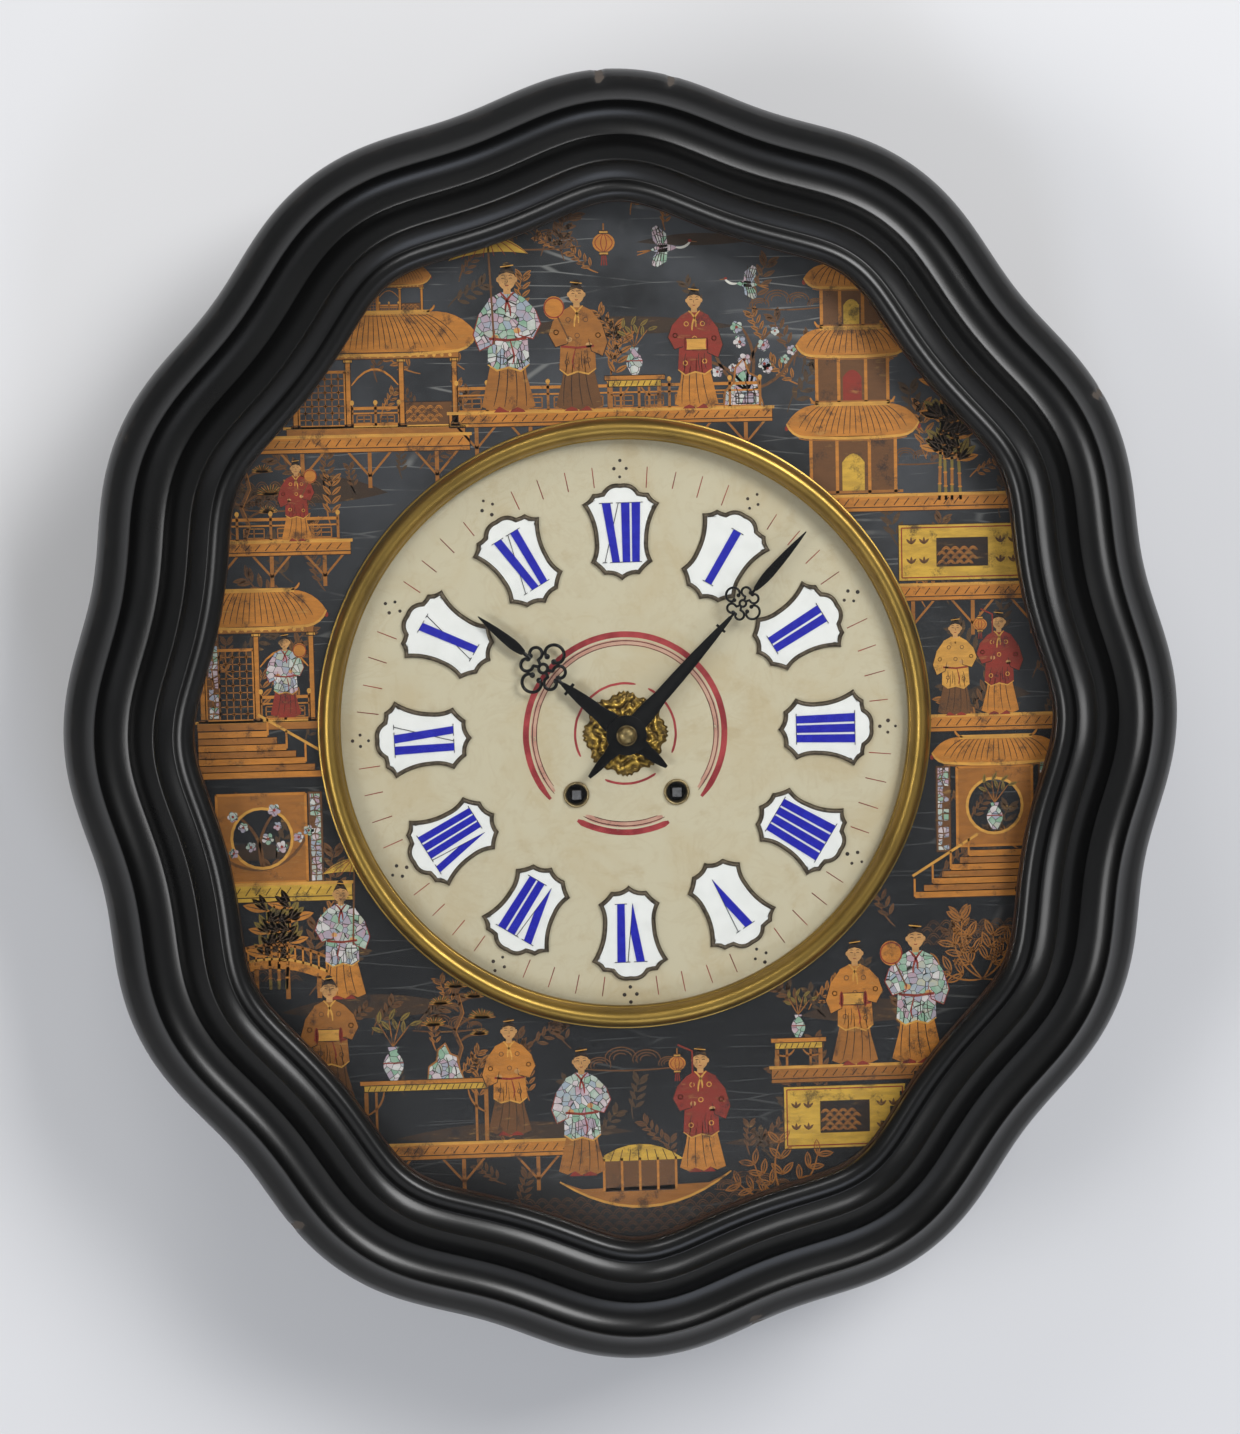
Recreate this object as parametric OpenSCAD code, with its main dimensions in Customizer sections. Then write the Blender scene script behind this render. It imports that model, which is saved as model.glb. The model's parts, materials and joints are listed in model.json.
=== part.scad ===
// Oval wall clock: a hinged, glazed frame, a lacquered panel, an alabaster dial and a striking movement.
// Millimetres. X points right, Z up, the front faces -Y and the wall is the plane Y = 0.
// The origin lies on the wall behind the frame's centre. Plan points are [x, z].

/* [Frame moulding] */
// Half width of the ellipse that the frame's edge waves about
frame_a = 273.6; // [262:0.2:286]
// Half height of the same ellipse
frame_b = 318.2; // [300:0.2:336]
// Height of the waves along the frame's edge
wave_h = 4.5; // [2:0.1:6]
// Number of waves round the frame
waves = 12; // [8:2:16]
// Width of the moulding's outer edge
edge_w = 9; // [7:0.5:11]
// Width of the step up to the outer crest
step_w = 8; // [6:0.5:10]
// Width of the hollow between the crests
hollow_w = 16; // [13:0.5:19]
// Width of the slope up to the inner crest
slope_w = 13; // [11:0.5:15]
// Width of the inner crest's fall
fall_w = 9; // [7:0.5:11]
// Width of the bead along the sight edge
bead_w = 10; // [8:0.5:12]
// Height of the outer edge above the frame's back
edge_h = 18; // [16:0.5:20]
// Height of the outer crest
step_h = 27; // [24:0.5:29]
// Height at the inner side of the hollow
hollow_h = 21; // [19:0.5:23]
// Height of the inner crest
crest_h = 34; // [31:0.5:38]
// Height of the bead's outer foot
bead_h = 26.5; // [25:0.5:28]
// Height of the sight edge
sight_h = 25; // [24:0.5:27]
// Thickness of the wood in front of the glass
sight_lip = 4; // [3:0.5:5]
// Thickness of the glass
glass_t = 3; // [2:0.25:4]
// Width of the frame's lip over the glass
glass_bite = 4.5; // [3.5:0.25:6]

/* [Panel, dial and bezel] */
// Thickness of the lacquered panel
panel_t = 4; // [3:0.25:4.5]
// Width of the frame's lip over the panel
panel_bite = 8; // [7:0.5:10]
// Outer radius of the bezel
bezel_r = 153; // [151:0.5:156]
// Width of the bezel
bezel_w = 11.5; // [10:0.25:12.5]
// Height of the bezel over the panel
bezel_h = 10; // [7.5:0.25:12]
// Radius of the dial
dial_r = 152; // [150:0.5:154]
// Thickness of the dial
dial_t = 6; // [5:0.5:7]
// Drop of the hands' axis below the frame's centre
dial_drop = 5; // [2:0.5:6]
// Radius of the circle on which the hour plaques lie
plaque_ring = 100.6; // [98:0.2:102]
// Height of an hour plaque with its rim
plaque_h = 48; // [44:0.5:50]
// Width of an hour plaque with its rim
plaque_w = 37; // [33:0.5:39]
// Width of the plaques' metal rim
rim_w = 1.9; // [1.4:0.1:2.4]
// Height of the plaques' metal rim
rim_t = 2; // [1.5:0.1:2.5]
// Thickness of the enamel inside the rim
enamel_t = 1.4; // [1:0.1:1.9]
// Radius of the gilt rosette
rosette_r = 21.5; // [19:0.5:24]
// Height of the gilt rosette
rosette_h = 3; // [2:0.25:3.5]
// Outer radius of the winding holes' grommets
grommet_r = 6.5; // [6:0.25:8]
// Radius of the hole through a grommet
winding_hole_r = 5; // [4.5:0.1:5.2]

/* [Case] */
// Depth from the wall to the front board
case_d = 95; // [93:0.5:105]
// Half width of the box behind the front board
case_half_w = 165; // [164:0.5:175]
// Height of the box above the frame's centre
case_top = 195; // [190:1:210]
// Depth of the box below the frame's centre
case_bottom = 215; // [212:1:225]
// Thickness of the box's wood
wood_t = 8; // [7:0.5:10]
// Thickness of the front board
board_t = 12; // [10:0.5:14]
// How far the front board's straight sides stand in from the frame's ellipse
board_side_in = 30.1; // [28:0.1:36]
// Inset of the front board's edge from the frame's edge
board_inset = 24; // [20:0.5:30]
// Gap between the front board and the closed frame
door_gap = 0.5; // [0.4:0.05:0.8]
// Size of the blocks glued in the box's corners
block_w = 18; // [14:1:22]
// Radius of the hole in the hanging plate
hang_hole_r = 4; // [3:0.25:5]
// Thickness of the hanging plate
hang_t = 2.5; // [2:0.25:3.5]
// Width of the hanging plate
hang_w = 34; // [30:1:40]
// Height of the hanging hole over the box's top
hang_rise = 16; // [14:1:20]

/* [Hinges and latch] */
// Height of the hinges above and below the frame's centre
hinge_z = 70; // [60:1:80]
// Length of one hinge
hinge_l = 42; // [36:1:50]
// Radius of the hinge knuckles
knuckle_r = 3; // [2.8:0.1:3.2]
// Radius of the hinge pins
hinge_pin_r = 1.4; // [1.2:0.1:1.6]
// Thickness of the hinge leaves
leaf_t = 1.2; // [1:0.1:1.4]
// Radius of the post that carries the latch
latch_post_r = 3; // [2.5:0.25:3.5]
// Length of the latch's finger
latch_l = 19; // [16:0.5:22]
// Thickness of the latch
latch_t = 2.5; // [2:0.25:3]

/* [Movement] */
// Distance of the winding arbors to each side of the hands' axis
arbor_x = 25.15; // [24.6:0.05:26]
// Drop of the winding arbors below the hands' axis
arbor_drop = 30; // [28:0.25:31]
// Half width of the brass plates
plate_half_w = 56; // [55:0.5:60]
// Height of the plates above the hands' axis
plate_top = 60; // [58:0.5:66]
// Depth of the plates below the hands' axis
plate_bottom = 62; // [60:0.5:66]
// Thickness of the plates
plate_t = 2.5; // [2:0.25:3]
// Distance between the plates
train_gap = 42; // [41:0.25:43]
// Distance from the front plate to the dial
motion_gap = 12; // [11.5:0.25:13]
// Height of the escape arbor above the hands' axis
escape_rise = 27; // [26.5:0.1:27.6]
// Height of the pallet arbor above the escape arbor
anchor_rise = 15; // [14.5:0.1:15.5]
// Radius of the escape wheel
escape_r = 9.5; // [9:0.1:9.8]
// Radius of the pillars and of the posts on the back board
pillar_r = 4; // [3.5:0.25:4.5]
// Radius of the train's arbors
arbor_r = 0.95; // [0.8:0.05:1]
// Radius of the pivots at the arbors' ends
pivot_r = 0.65; // [0.5:0.05:0.7]
// Half width of the winding squares
square_half = 2.25; // [2:0.05:2.5]
// Radius of the bell's rim
bell_r = 34; // [30:0.5:36]
// Depth of the bell
bell_d = 20; // [16:0.5:24]

/* [Pendulum] */
// Distance from the pendulum's axis to the centre of its bob
pendulum_l = 201; // [190:1:206]
// Radius of the bob
bob_r = 22; // [18:0.5:24]
// Thickness of the bob
bob_t = 9; // [7:0.5:11]
// Radius of the pendulum's rod
rod_r = 1.25; // [1:0.05:1.5]
// Length of the crutch
crutch_l = 55; // [45:1:65]

/* [Hands] */
// Length of the hour hand from its axis
hour_l = 94.4; // [90:0.2:98]
// Length of the hour hand's tail
hour_tail = 26; // [22:0.5:30]
// Distance from the axis to the centre of the hour hand's scrollwork
hour_scroll = 53; // [50:0.5:56]
// Size of the hour hand's scrollwork, as the radius of its side scrolls
hour_curl = 5.2; // [4.5:0.1:5.6]
// Clock angle of the hour hand
hour_angle = 310; // [0:1:360]
// Length of the minute hand from its axis
minute_l = 134.7; // [128:0.2:138]
// Length of the minute hand's tail
minute_tail = 28; // [24:0.5:32]
// Distance from the axis to the centre of the minute hand's scrollwork
minute_scroll = 87.3; // [84:0.5:90]
// Size of the minute hand's scrollwork, as the radius of its side scrolls
minute_curl = 3.8; // [3.2:0.1:4.2]
// Clock angle of the minute hand
minute_angle = 42.7; // [0:0.1:360]
// Thickness of the hands
hand_t = 1.2; // [1:0.1:1.4]
// Radius of the minute hand's round boss
boss_r = 10; // [8:0.5:11]

/* [Hidden] */

// Colours as the photograph shows them
ebony = [0.09, 0.085, 0.08];
lacquer = [0.07, 0.08, 0.09];
aged_brass = [0.63, 0.49, 0.2];
gilt = [0.76, 0.58, 0.22];
bronze = [0.3, 0.25, 0.15];
alabaster = [0.82, 0.76, 0.62];
enamel = [0.93, 0.93, 0.9];
blackened = [0.06, 0.06, 0.07];
steel = [0.5, 0.51, 0.53];
box_wood = [0.35, 0.24, 0.15];
clear_glass = [0.8, 0.9, 0.9, 0.3];

// Clearances: a running fit, a seated fit and a gap between two bodies
run_gap = 0.04;
seat_gap = 0.02;
free_gap = 0.3;
round_fn = 96;
small_fn = 32;

// The waves crowd a little towards the sides, and their crests are slightly blunt
wave_drift = 2.75;
wave_blunt = 0.24;
stations = 11 * waves;
back_step = 2;
edge_base_h = 4;
shoulder_s = 5;
shoulder_h = 15;

// Widths across the moulding, summed inward from the outer edge
crest_s = edge_w + step_w;
hollow_s = crest_s + hollow_w;
peak_s = hollow_s + slope_w;
bead_s = peak_s + fall_w;
frame_w = bead_s + bead_w;
glass_rebate_s = frame_w - glass_bite;
panel_rebate_s = frame_w - panel_bite;
glass_front_h = sight_h - sight_lip;
panel_rebate_h = panel_t + 1.5;
glazing_t = 4;

// Planes across the depth, from the wall forwards
board_back_y = -case_d;
board_y = board_back_y - board_t;
panel_y = board_y - panel_t;
frame_y = board_y - door_gap;
dial_y = board_y;
dial_back_y = dial_y + dial_t;
front_plate_y = dial_back_y + motion_gap;
back_plate_y = front_plate_y + plate_t + train_gap;
back_plate_rear_y = back_plate_y + plate_t;

// Places in the plan
hub = [0, -dial_drop];
going_p = hub + [arbor_x, -arbor_drop];
strike_p = mirrored(going_p);
escape_p = hub + [0, escape_rise];
anchor_p = escape_p + [0, anchor_rise];

// Teeth and modules of the trains
barrel_m = 0.64;
barrel_n = 72;
first_pinion_n = 12;
inter_m = 0.55;
inter_n = 60;
centre_pinion_n = 10;
centre_m = 0.42;
centre_n = 80;
third_pinion_n = 8;
third_m = 0.4;
third_n = 70;
escape_pinion_n = 7;
escape_n = 40;
motion_m = 0.6;
cannon_n = 15;
minute_n = 45;
minute_pinion_n = 12;
hour_n = 48;
lock_pinion_n = 10;
lock_n = 56;
fly_pinion_n = 7;
ratchet_n = 24;
ratchet_r = 8;

inter_p = meet(going_p, gear_gap(barrel_m, barrel_n, first_pinion_n),
    hub, gear_gap(inter_m, inter_n, centre_pinion_n), -1);
pin_p = mirrored(inter_p);
third_p = meet(hub, gear_gap(centre_m, centre_n, third_pinion_n),
    escape_p, gear_gap(third_m, third_n, escape_pinion_n), -1);
motion_p = hub + [0, gear_gap(motion_m, cannon_n, minute_n)];
lock_angle = 117;
fly_angle = 75;
lock_p = pin_p + gear_gap(inter_m, inter_n, lock_pinion_n) * toward(lock_angle);
fly_p = lock_p + gear_gap(centre_m, lock_n, fly_pinion_n) * toward(fly_angle);
hammer_p = hub + [-46, 8];
bell_p = hub + [22, 122];

// Depths in the train, forward from the back plate, as [start, end]
drum_d = [2, 15.5];
barrel_d = [15.5, 17.5];
first_pinion_d = [13.5, 20];
inter_d = [24, 25.5];
centre_pinion_d = [22, 27.5];
pin_wheel_d = [28.5, 30];
pins_d = [30, 34];
lock_pinion_d = [26, 32];
third_d = [29, 30.2];
escape_pinion_d = [26.5, 32.5];
third_pinion_d = [33.5, 39];
centre_d = [36, 37.2];
fly_pinion_d = [34, 39];
fan_d = [5, 24];
escape_d = [8, 9.2];
anchor_d = [7.3, 9.9];
hammer_d = [1.2, 3.2];
tail_d = [31, 33];

// Planes of the motion work and the hands
ratchet_y = front_plate_y - 1;
ratchet_t = 1.5;
cannon_y = front_plate_y - 2;
hour_wheel_y = front_plate_y - 6;
hour_hand_y = dial_y - rosette_h - 2;
minute_hand_y = hour_hand_y - hand_t - 1.8;
minute_boss_t = 2.2;
nut_y = minute_hand_y - minute_boss_t;
nut_r = 4.75;
nut_h = 4.6;
centre_shaft_r = 1.5;
cannon_r = 3;
hour_pipe_r = 4.6;
dial_bore_r = 6;

pillar_dx = plate_half_w - 6;
pillar_x = [-pillar_dx, pillar_dx];
pillar_z = [8 - plate_bottom, plate_top - 8];
stud_r = 2;
feet = [[-40, 42], [40, 42], [0, -50]];
foot_r = 3;
winding_r = 3;

// The pendulum hangs behind the back plate
pendulum_y = back_plate_rear_y + 11.5;
chop_h = 5;
strip_t = 0.3;
strip_w = 6;
axis_gap = 4;
cock_rise = 4;
cock_h = 8;
slot_half = 1.1;
bridge_d = [5.5, 8];

board_half_w = frame_a - board_side_in;
hinge_pin_gap = 3.5;
latch_gap = 6.5;
hinge_pin_x = -(board_half_w + hinge_pin_gap);
hinge_pin_y = frame_y + knuckle_r + door_gap;
latch_x = board_half_w + latch_gap;
latch_y = board_back_y + free_gap;

// Reflection across the clock's middle plane
function mirrored(p) = [-p[0], p[1]];
// Unit vector at an angle
function toward(a) = [cos(a), sin(a)];
// Angle of the line from p to q
function heading(p, q) = atan2(q[1] - p[1], q[0] - p[0]);
// Distance between the axes of two meshing gears
function gear_gap(m, n1, n2) = m * (n1 + n2) / 2;
// The point at distance rp from p and rq from q, left of the line from p to q for side 1
function meet(p, rp, q, rq, side) =
    let (d = norm(q - p), e = (q - p) / d, a = (rp * rp - rq * rq + d * d) / (2 * d))
    p + a * e + side * sqrt(rp * rp - a * a) * [-e[1], e[0]];
// Points of a shallow curve from p to q that bulges left by rise, without q itself
function bow(p, q, rise, n) =
    let (d = q - p, side = [-d[1], d[0]] / norm(d))
    [for (i = [0:n - 1]) let (f = i / n) p + f * d + 4 * f * (1 - f) * rise * side];
// Moves an anticlockwise outline inward by w
function inset(points, w) =
    let (n = len(points))
    [for (i = [0:n - 1])
        let (
            a = points[i] - points[(i + n - 1) % n],
            b = points[(i + 1) % n] - points[i],
            u = [-a[1], a[0]] / norm(a),
            v = [-b[1], b[0]] / norm(b)
        )
        points[i] + w * (u + v) / (1 + u * v)];

// The frame's waved edge, and rings parallel to it
function wave(t) =
    let (u = t + wave_drift * sin(2 * t))
    wave_h * cos(waves * u) - wave_blunt * cos(2 * waves * u);
function edge_point(t) =
    let (n = [frame_b * cos(t), frame_a * sin(t)])
    [frame_a * cos(t), frame_b * sin(t)] + wave(t) * n / norm(n);
function edge_normal(t) =
    let (d = edge_point(t + 0.05) - edge_point(t - 0.05))
    [d[1], -d[0]] / norm(d);
function ring(s, n = stations) =
    [for (i = [0:n - 1]) let (t = 360 * i / n) edge_point(t) - s * edge_normal(t)];

// Cross-section of the moulding: distance in from the outer edge, height above the back
moulding = concat(
    [[back_step, 0]],
    bow([0, edge_base_h], [shoulder_s, shoulder_h], 1.1, 3),
    [[shoulder_s, shoulder_h]],
    bow([edge_w, edge_h], [crest_s, step_h], -0.6, 2),
    bow([crest_s, step_h], [hollow_s, hollow_h], -3.2, 5),
    bow([hollow_s, hollow_h], [peak_s, crest_h], 0.6, 3),
    bow([peak_s, crest_h], [bead_s, bead_h], -1.2, 3),
    bow([bead_s, bead_h], [frame_w, sight_h], 3.2, 5),
    [[frame_w, sight_h], [frame_w, glass_front_h], [glass_rebate_s, glass_front_h],
     [glass_rebate_s, panel_rebate_h], [panel_rebate_s, panel_rebate_h], [panel_rebate_s, 0]]
);

// Right half of an hour plaque, from its bottom point up to the middle of its top
plaque_half = concat(
    bow([0, -plaque_h / 2], [plaque_w * 0.16, -plaque_h * 0.4], -0.5, 3),
    bow([plaque_w * 0.16, -plaque_h * 0.4], [plaque_w * 0.39, -plaque_h * 0.31], -0.6, 3),
    bow([plaque_w * 0.39, -plaque_h * 0.31], [plaque_w * 0.3, -plaque_h * 0.04], 0.9, 4),
    bow([plaque_w * 0.3, -plaque_h * 0.04], [plaque_w / 2, plaque_h * 0.35], 1.6, 5),
    bow([plaque_w / 2, plaque_h * 0.35], [plaque_w * 0.27, plaque_h * 0.42], 0.8, 4),
    bow([plaque_w * 0.27, plaque_h * 0.42], [0, plaque_h / 2], -1.4, 5)
);
function both_halves(half) =
    let (n = len(half))
    concat(half, [[0, plaque_h / 2]], [for (i = [n - 1:-1:1]) [-half[i][0], half[i][1]]]);
plaque = both_halves(plaque_half);

// Toothed outline: n teeth of module m, one of them at angle turn, half as thick as fat pitches
function teeth(n, m, turn, fat) =
    let (r = n * m / 2, pitch = 360 / n)
    [for (k = [0:n - 1],
          c = [[-1.15, -fat - 0.05], [0, -fat], [0.85, -fat / 2], [0.85, fat / 2], [0, fat], [-1.15, fat + 0.05]])
        (r + c[0] * m) * toward(turn + pitch * (k + c[1]))];
// Pointed saw teeth that lean clockwise, for ratchets and the escape wheel
function saw(n, r, depth, turn) =
    [for (k = [0:n - 1], c = [[0, 0], [depth, 0.12], [depth, 0.75]])
        (r - c[0]) * toward(turn + 360 / n * (k + c[1]))];
// Angle at which a gear with n teeth meshes with one of n0 teeth and angle turn0, in direction dir from it
function mate(n, dir, n0, turn0) =
    dir + 180 - (0.5 - (dir - turn0) * n0 / 360) * 360 / n;

// Angles of the gears on their arbors, set so that every pair is in mesh
wheel_fat = 0.2;
pinion_fat = 0.16;
centre_turn = 0;
third_turn = mate(third_pinion_n, heading(hub, third_p), centre_n, centre_turn);
escape_turn = mate(escape_pinion_n, heading(third_p, escape_p), third_n, centre_turn);
inter_turn = mate(inter_n, heading(hub, inter_p), centre_pinion_n, centre_turn);
going_turn = mate(barrel_n, heading(inter_p, going_p), first_pinion_n, centre_turn);
minute_turn = mate(minute_n, heading(hub, motion_p), cannon_n, centre_turn);
hour_turn = mate(hour_n, heading(motion_p, hub), minute_pinion_n, centre_turn);
pin_turn = mate(first_pinion_n, heading(strike_p, pin_p), barrel_n, centre_turn);
lock_turn = mate(lock_pinion_n, heading(pin_p, lock_p), inter_n, centre_turn);
fly_turn = mate(fly_pinion_n, heading(lock_p, fly_p), lock_n, centre_turn);

// Turns a plan drawing into a plate whose back is at y and which comes forward by t
module slab(y, t) {
    translate([0, y, 0]) rotate([90, 0, 0]) linear_extrude(t) children();
}
// Round bar along Y, centred on the plan point p, coming forward from y by l
module bar(p, y, l, r, fn = small_fn) {
    translate([p[0], y, p[1]]) rotate([90, 0, 0]) cylinder(h = l, r = r, $fn = fn);
}
// The same between two depths in the train
module train_bar(p, d, r, fn = small_fn) {
    bar(p, back_plate_y - d[0], d[1] - d[0], r, fn);
}
// A plan drawing between two depths in the train
module train_slab(d) {
    slab(back_plate_y - d[0], d[1] - d[0]) children();
}
// Arbor between the plates, with a pivot in each
module arbor(p) {
    train_bar(p, [free_gap, train_gap - free_gap], arbor_r);
    train_bar(p, [0.2 - plate_t, train_gap + plate_t - 0.2], pivot_r);
}
// Spoked wheel in the plan
module wheel(p, n, m, turn) {
    rim_r = n * m / 2 - 2.6 * m - 0.6;
    translate(p) {
        difference() {
            polygon(teeth(n, m, turn, wheel_fat));
            circle(r = rim_r, $fn = round_fn);
        }
        circle(r = 3.2, $fn = small_fn);
        for (a = [0:72:359]) rotate(a) translate([2, -0.8]) square([rim_r - 1.5, 1.6]);
    }
}
// Pinion in the plan
module pinion(p, n, m, turn) {
    translate(p) polygon(teeth(n, m, turn, pinion_fat));
}
// Ring of square section in the plan
module annulus(p, r_out, r_in, fn = round_fn) {
    translate(p) difference() {
        circle(r = r_out, $fn = fn);
        circle(r = r_in, $fn = fn);
    }
}
// Arc of a strip w wide, about the point c
module curl(c, r, w, a0, a1, n = 14) {
    outer = [for (i = [0:n]) c + (r + w / 2) * toward(a0 + (a1 - a0) * i / n)];
    inner = [for (i = [n:-1:0]) c + (r - w / 2) * toward(a0 + (a1 - a0) * i / n)];
    polygon(concat(outer, inner));
}
// Blade pointed at z0 and z1, w wide at the share f of its length
module blade(z0, z1, w0, w, w1, f) {
    zm = z0 + f * (z1 - z0);
    right = concat(
        bow([w0 / 2, z0], [w / 2, zm], -w / 12, 4),
        bow([w / 2, zm], [w1 / 2, z1], -w / 12, 4),
        [[w1 / 2, z1]]
    );
    polygon(concat(right, [for (i = [len(right) - 1:-1:0]) [-right[i][0], right[i][1]]]));
}
// Pierced scrollwork of a hand, centred at z, with side scrolls of radius k
module scrollwork(z, k) {
    w = 0.3 * k;
    annulus([0, z], 0.66 * k, 0.36 * k, small_fn);
    for (s = [-1, 1]) {
        translate([-w / 2, z + (s > 0 ? 0.5 * k : -2.5 * k)]) square([w, 2 * k]);
        turn = s > 0 ? 0 : 180;
        curl([s * 1.38 * k, z], k, w, turn - 150, turn + 150);
        for (t = [-1, 1]) {
            annulus([s * 0.74 * k, z + t * 1.58 * k], 0.77 * k, 0.47 * k, small_fn);
            translate([s * 0.46 * k, z + t * 0.48 * k]) circle(r = 0.26 * k, $fn = 16);
        }
    }
}

// Frame and its glazing

module front_frame() {
    n = len(moulding);
    rings = [for (p = moulding) ring(p[0])];
    points = [for (i = [0:stations - 1], j = [0:n - 1])
        [rings[j][i][0], frame_y - moulding[j][1], rings[j][i][1]]];
    faces = [for (i = [0:stations - 1], j = [0:n - 1], half = [0, 1])
        let (
            a = i * n + j,
            b = i * n + (j + 1) % n,
            c = ((i + 1) % stations) * n + (j + 1) % n,
            d = ((i + 1) % stations) * n + j
        )
        half == 0 ? [a, c, b] : [a, d, c]];
    color(ebony) polyhedron(points, faces);
}
module glass() {
    color(clear_glass) slab(frame_y - glass_front_h + glass_t, glass_t)
        polygon(ring(glass_rebate_s + free_gap));
}
module glass_bead() {
    bead_y = frame_y - glass_front_h + glass_t + glazing_t;
    color(ebony) slab(bead_y, glazing_t) difference() {
        polygon(ring(glass_rebate_s + seat_gap));
        polygon(ring(frame_w));
    }
}
module knuckles(from, to) {
    for (side = [-1, 1])
        translate([hinge_pin_x, hinge_pin_y, side * hinge_z - hinge_l / 2 + from])
            cylinder(h = to - from, r = knuckle_r, $fn = small_fn);
}
module hinge_bores(r) {
    for (side = [-1, 1])
        translate([hinge_pin_x, hinge_pin_y, side * hinge_z - hinge_l / 2 - 1])
            cylinder(h = hinge_l + 2, r = r, $fn = small_fn);
}
// The door's leaf carries the middle knuckle, the case's leaf the outer two
knuckle_l = hinge_l / 3;
leaf_w = 9;
module door_hinge_leaves() {
    color(aged_brass) difference() {
        union() {
            knuckles(knuckle_l + free_gap, 2 * knuckle_l - free_gap);
            for (side = [-1, 1])
                translate([hinge_pin_x - leaf_w, frame_y, side * hinge_z - knuckle_l / 2 + free_gap])
                    cube([leaf_w, leaf_t, knuckle_l - 2 * free_gap]);
        }
        hinge_bores(hinge_pin_r + run_gap);
    }
}
module case_hinge_leaves() {
    leaf_x = -board_half_w - leaf_t;
    color(aged_brass) difference() {
        union() {
            knuckles(0, knuckle_l);
            knuckles(2 * knuckle_l, hinge_l);
            for (side = [-1, 1]) difference() {
                translate([leaf_x, hinge_pin_y, side * hinge_z - hinge_l / 2])
                    cube([leaf_t, board_t - 5, hinge_l]);
                translate([leaf_x - 1, hinge_pin_y - 1, side * hinge_z - knuckle_l / 2])
                    cube([leaf_t + 2, knuckle_r + 1 + free_gap, knuckle_l]);
            }
        }
        hinge_bores(hinge_pin_r + seat_gap);
    }
}
module hinge_pins() {
    color(aged_brass) for (side = [-1, 1])
        translate([hinge_pin_x, hinge_pin_y, side * hinge_z - hinge_l / 2]) {
            cylinder(h = hinge_l, r = hinge_pin_r, $fn = small_fn);
            translate([0, 0, hinge_l]) cylinder(h = 1.2, r = hinge_pin_r + 0.8, $fn = small_fn);
        }
}
latch_pin_r = 1.6;
module latch_post() {
    latch_p = [latch_x, 0];
    color(aged_brass) {
        bar(latch_p, latch_y, latch_y - frame_y, latch_post_r);
        bar(latch_p, latch_y + latch_t + free_gap, latch_t + free_gap + 0.5, latch_pin_r);
        bar(latch_p, latch_y + latch_t + 1.8, 1.5, latch_post_r);
    }
}
module latch_button() {
    color(aged_brass) slab(latch_y + latch_t + 0.1, latch_t) difference() {
        union() {
            translate([latch_x, 0]) circle(r = latch_post_r + 1.5, $fn = small_fn);
            translate([latch_x - 3, 0]) square([6, latch_l - 3]);
            translate([latch_x, latch_l - 3]) circle(r = 3, $fn = small_fn);
        }
        translate([latch_x, 0]) circle(r = latch_pin_r + run_gap, $fn = small_fn);
    }
}

// Case

module back_board() {
    color(box_wood) difference() {
        translate([-case_half_w, -wood_t, -case_bottom])
            cube([2 * case_half_w, wood_t, case_top + case_bottom]);
        translate([-hang_w / 2 - seat_gap, -hang_t - seat_gap, case_top - hang_inside])
            cube([hang_w + 2 * seat_gap, hang_t + 1, hang_inside + 1]);
    }
}
module case_sides() {
    sound_z = -30;
    color(box_wood) difference() {
        for (x = [-case_half_w, case_half_w - wood_t])
            translate([x, board_back_y, -case_bottom])
                cube([wood_t, case_d - wood_t, case_top + case_bottom]);
        // Sound holes that let the strike be heard
        for (a = [0:60:359])
            translate([-case_half_w - 1, -case_d / 2 + 16 * cos(a), sound_z + 16 * sin(a)])
                rotate([0, 90, 0]) cylinder(h = 2 * case_half_w + 2, r = 4, $fn = 24);
    }
}
module case_ends() {
    inner_half_w = case_half_w - wood_t;
    color(box_wood) for (z = [-case_bottom, case_top - wood_t])
        translate([-inner_half_w, board_back_y, z])
            cube([2 * inner_half_w, case_d - wood_t, wood_t]);
}
module corner_blocks() {
    color(box_wood) for (sx = [-1, 1], sz = [-1, 1]) {
        x = sx * (case_half_w - wood_t);
        z = sz > 0 ? case_top - wood_t : wood_t - case_bottom;
        slab(-wood_t, case_d - wood_t)
            polygon([[x, z], [x - sx * block_w, z], [x, z - sz * block_w]]);
    }
}
module front_board() {
    color(ebony) slab(board_back_y, board_t) difference() {
        intersection() {
            polygon(ring(board_inset, 6 * waves));
            square([2 * board_half_w, 2 * frame_b], center = true);
        }
        translate(hub) circle(r = dial_r + free_gap, $fn = round_fn);
    }
}
module lacquer_panel() {
    color(lacquer) slab(board_y, panel_t) difference() {
        polygon(ring(panel_rebate_s + 1));
        circle(r = bezel_r - bezel_w + free_gap + 4, $fn = round_fn);
    }
}
hang_inside = 34;
module hanging_plate() {
    hole_z = case_top + hang_rise;
    color(aged_brass) slab(0, hang_t) difference() {
        union() {
            translate([-hang_w / 2, case_top - hang_inside]) square([hang_w, hang_inside]);
            translate([-hang_w / 2, case_top]) square([hang_w, 4]);
            translate([0, hole_z]) circle(r = hang_hole_r + 6, $fn = small_fn);
            polygon([[-hang_w / 2, case_top + 4], [hang_w / 2, case_top + 4],
                [hang_hole_r + 5, hole_z], [-hang_hole_r - 5, hole_z]]);
        }
        translate([0, hole_z]) circle(r = hang_hole_r, $fn = 48);
    }
}

// Dial

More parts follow.
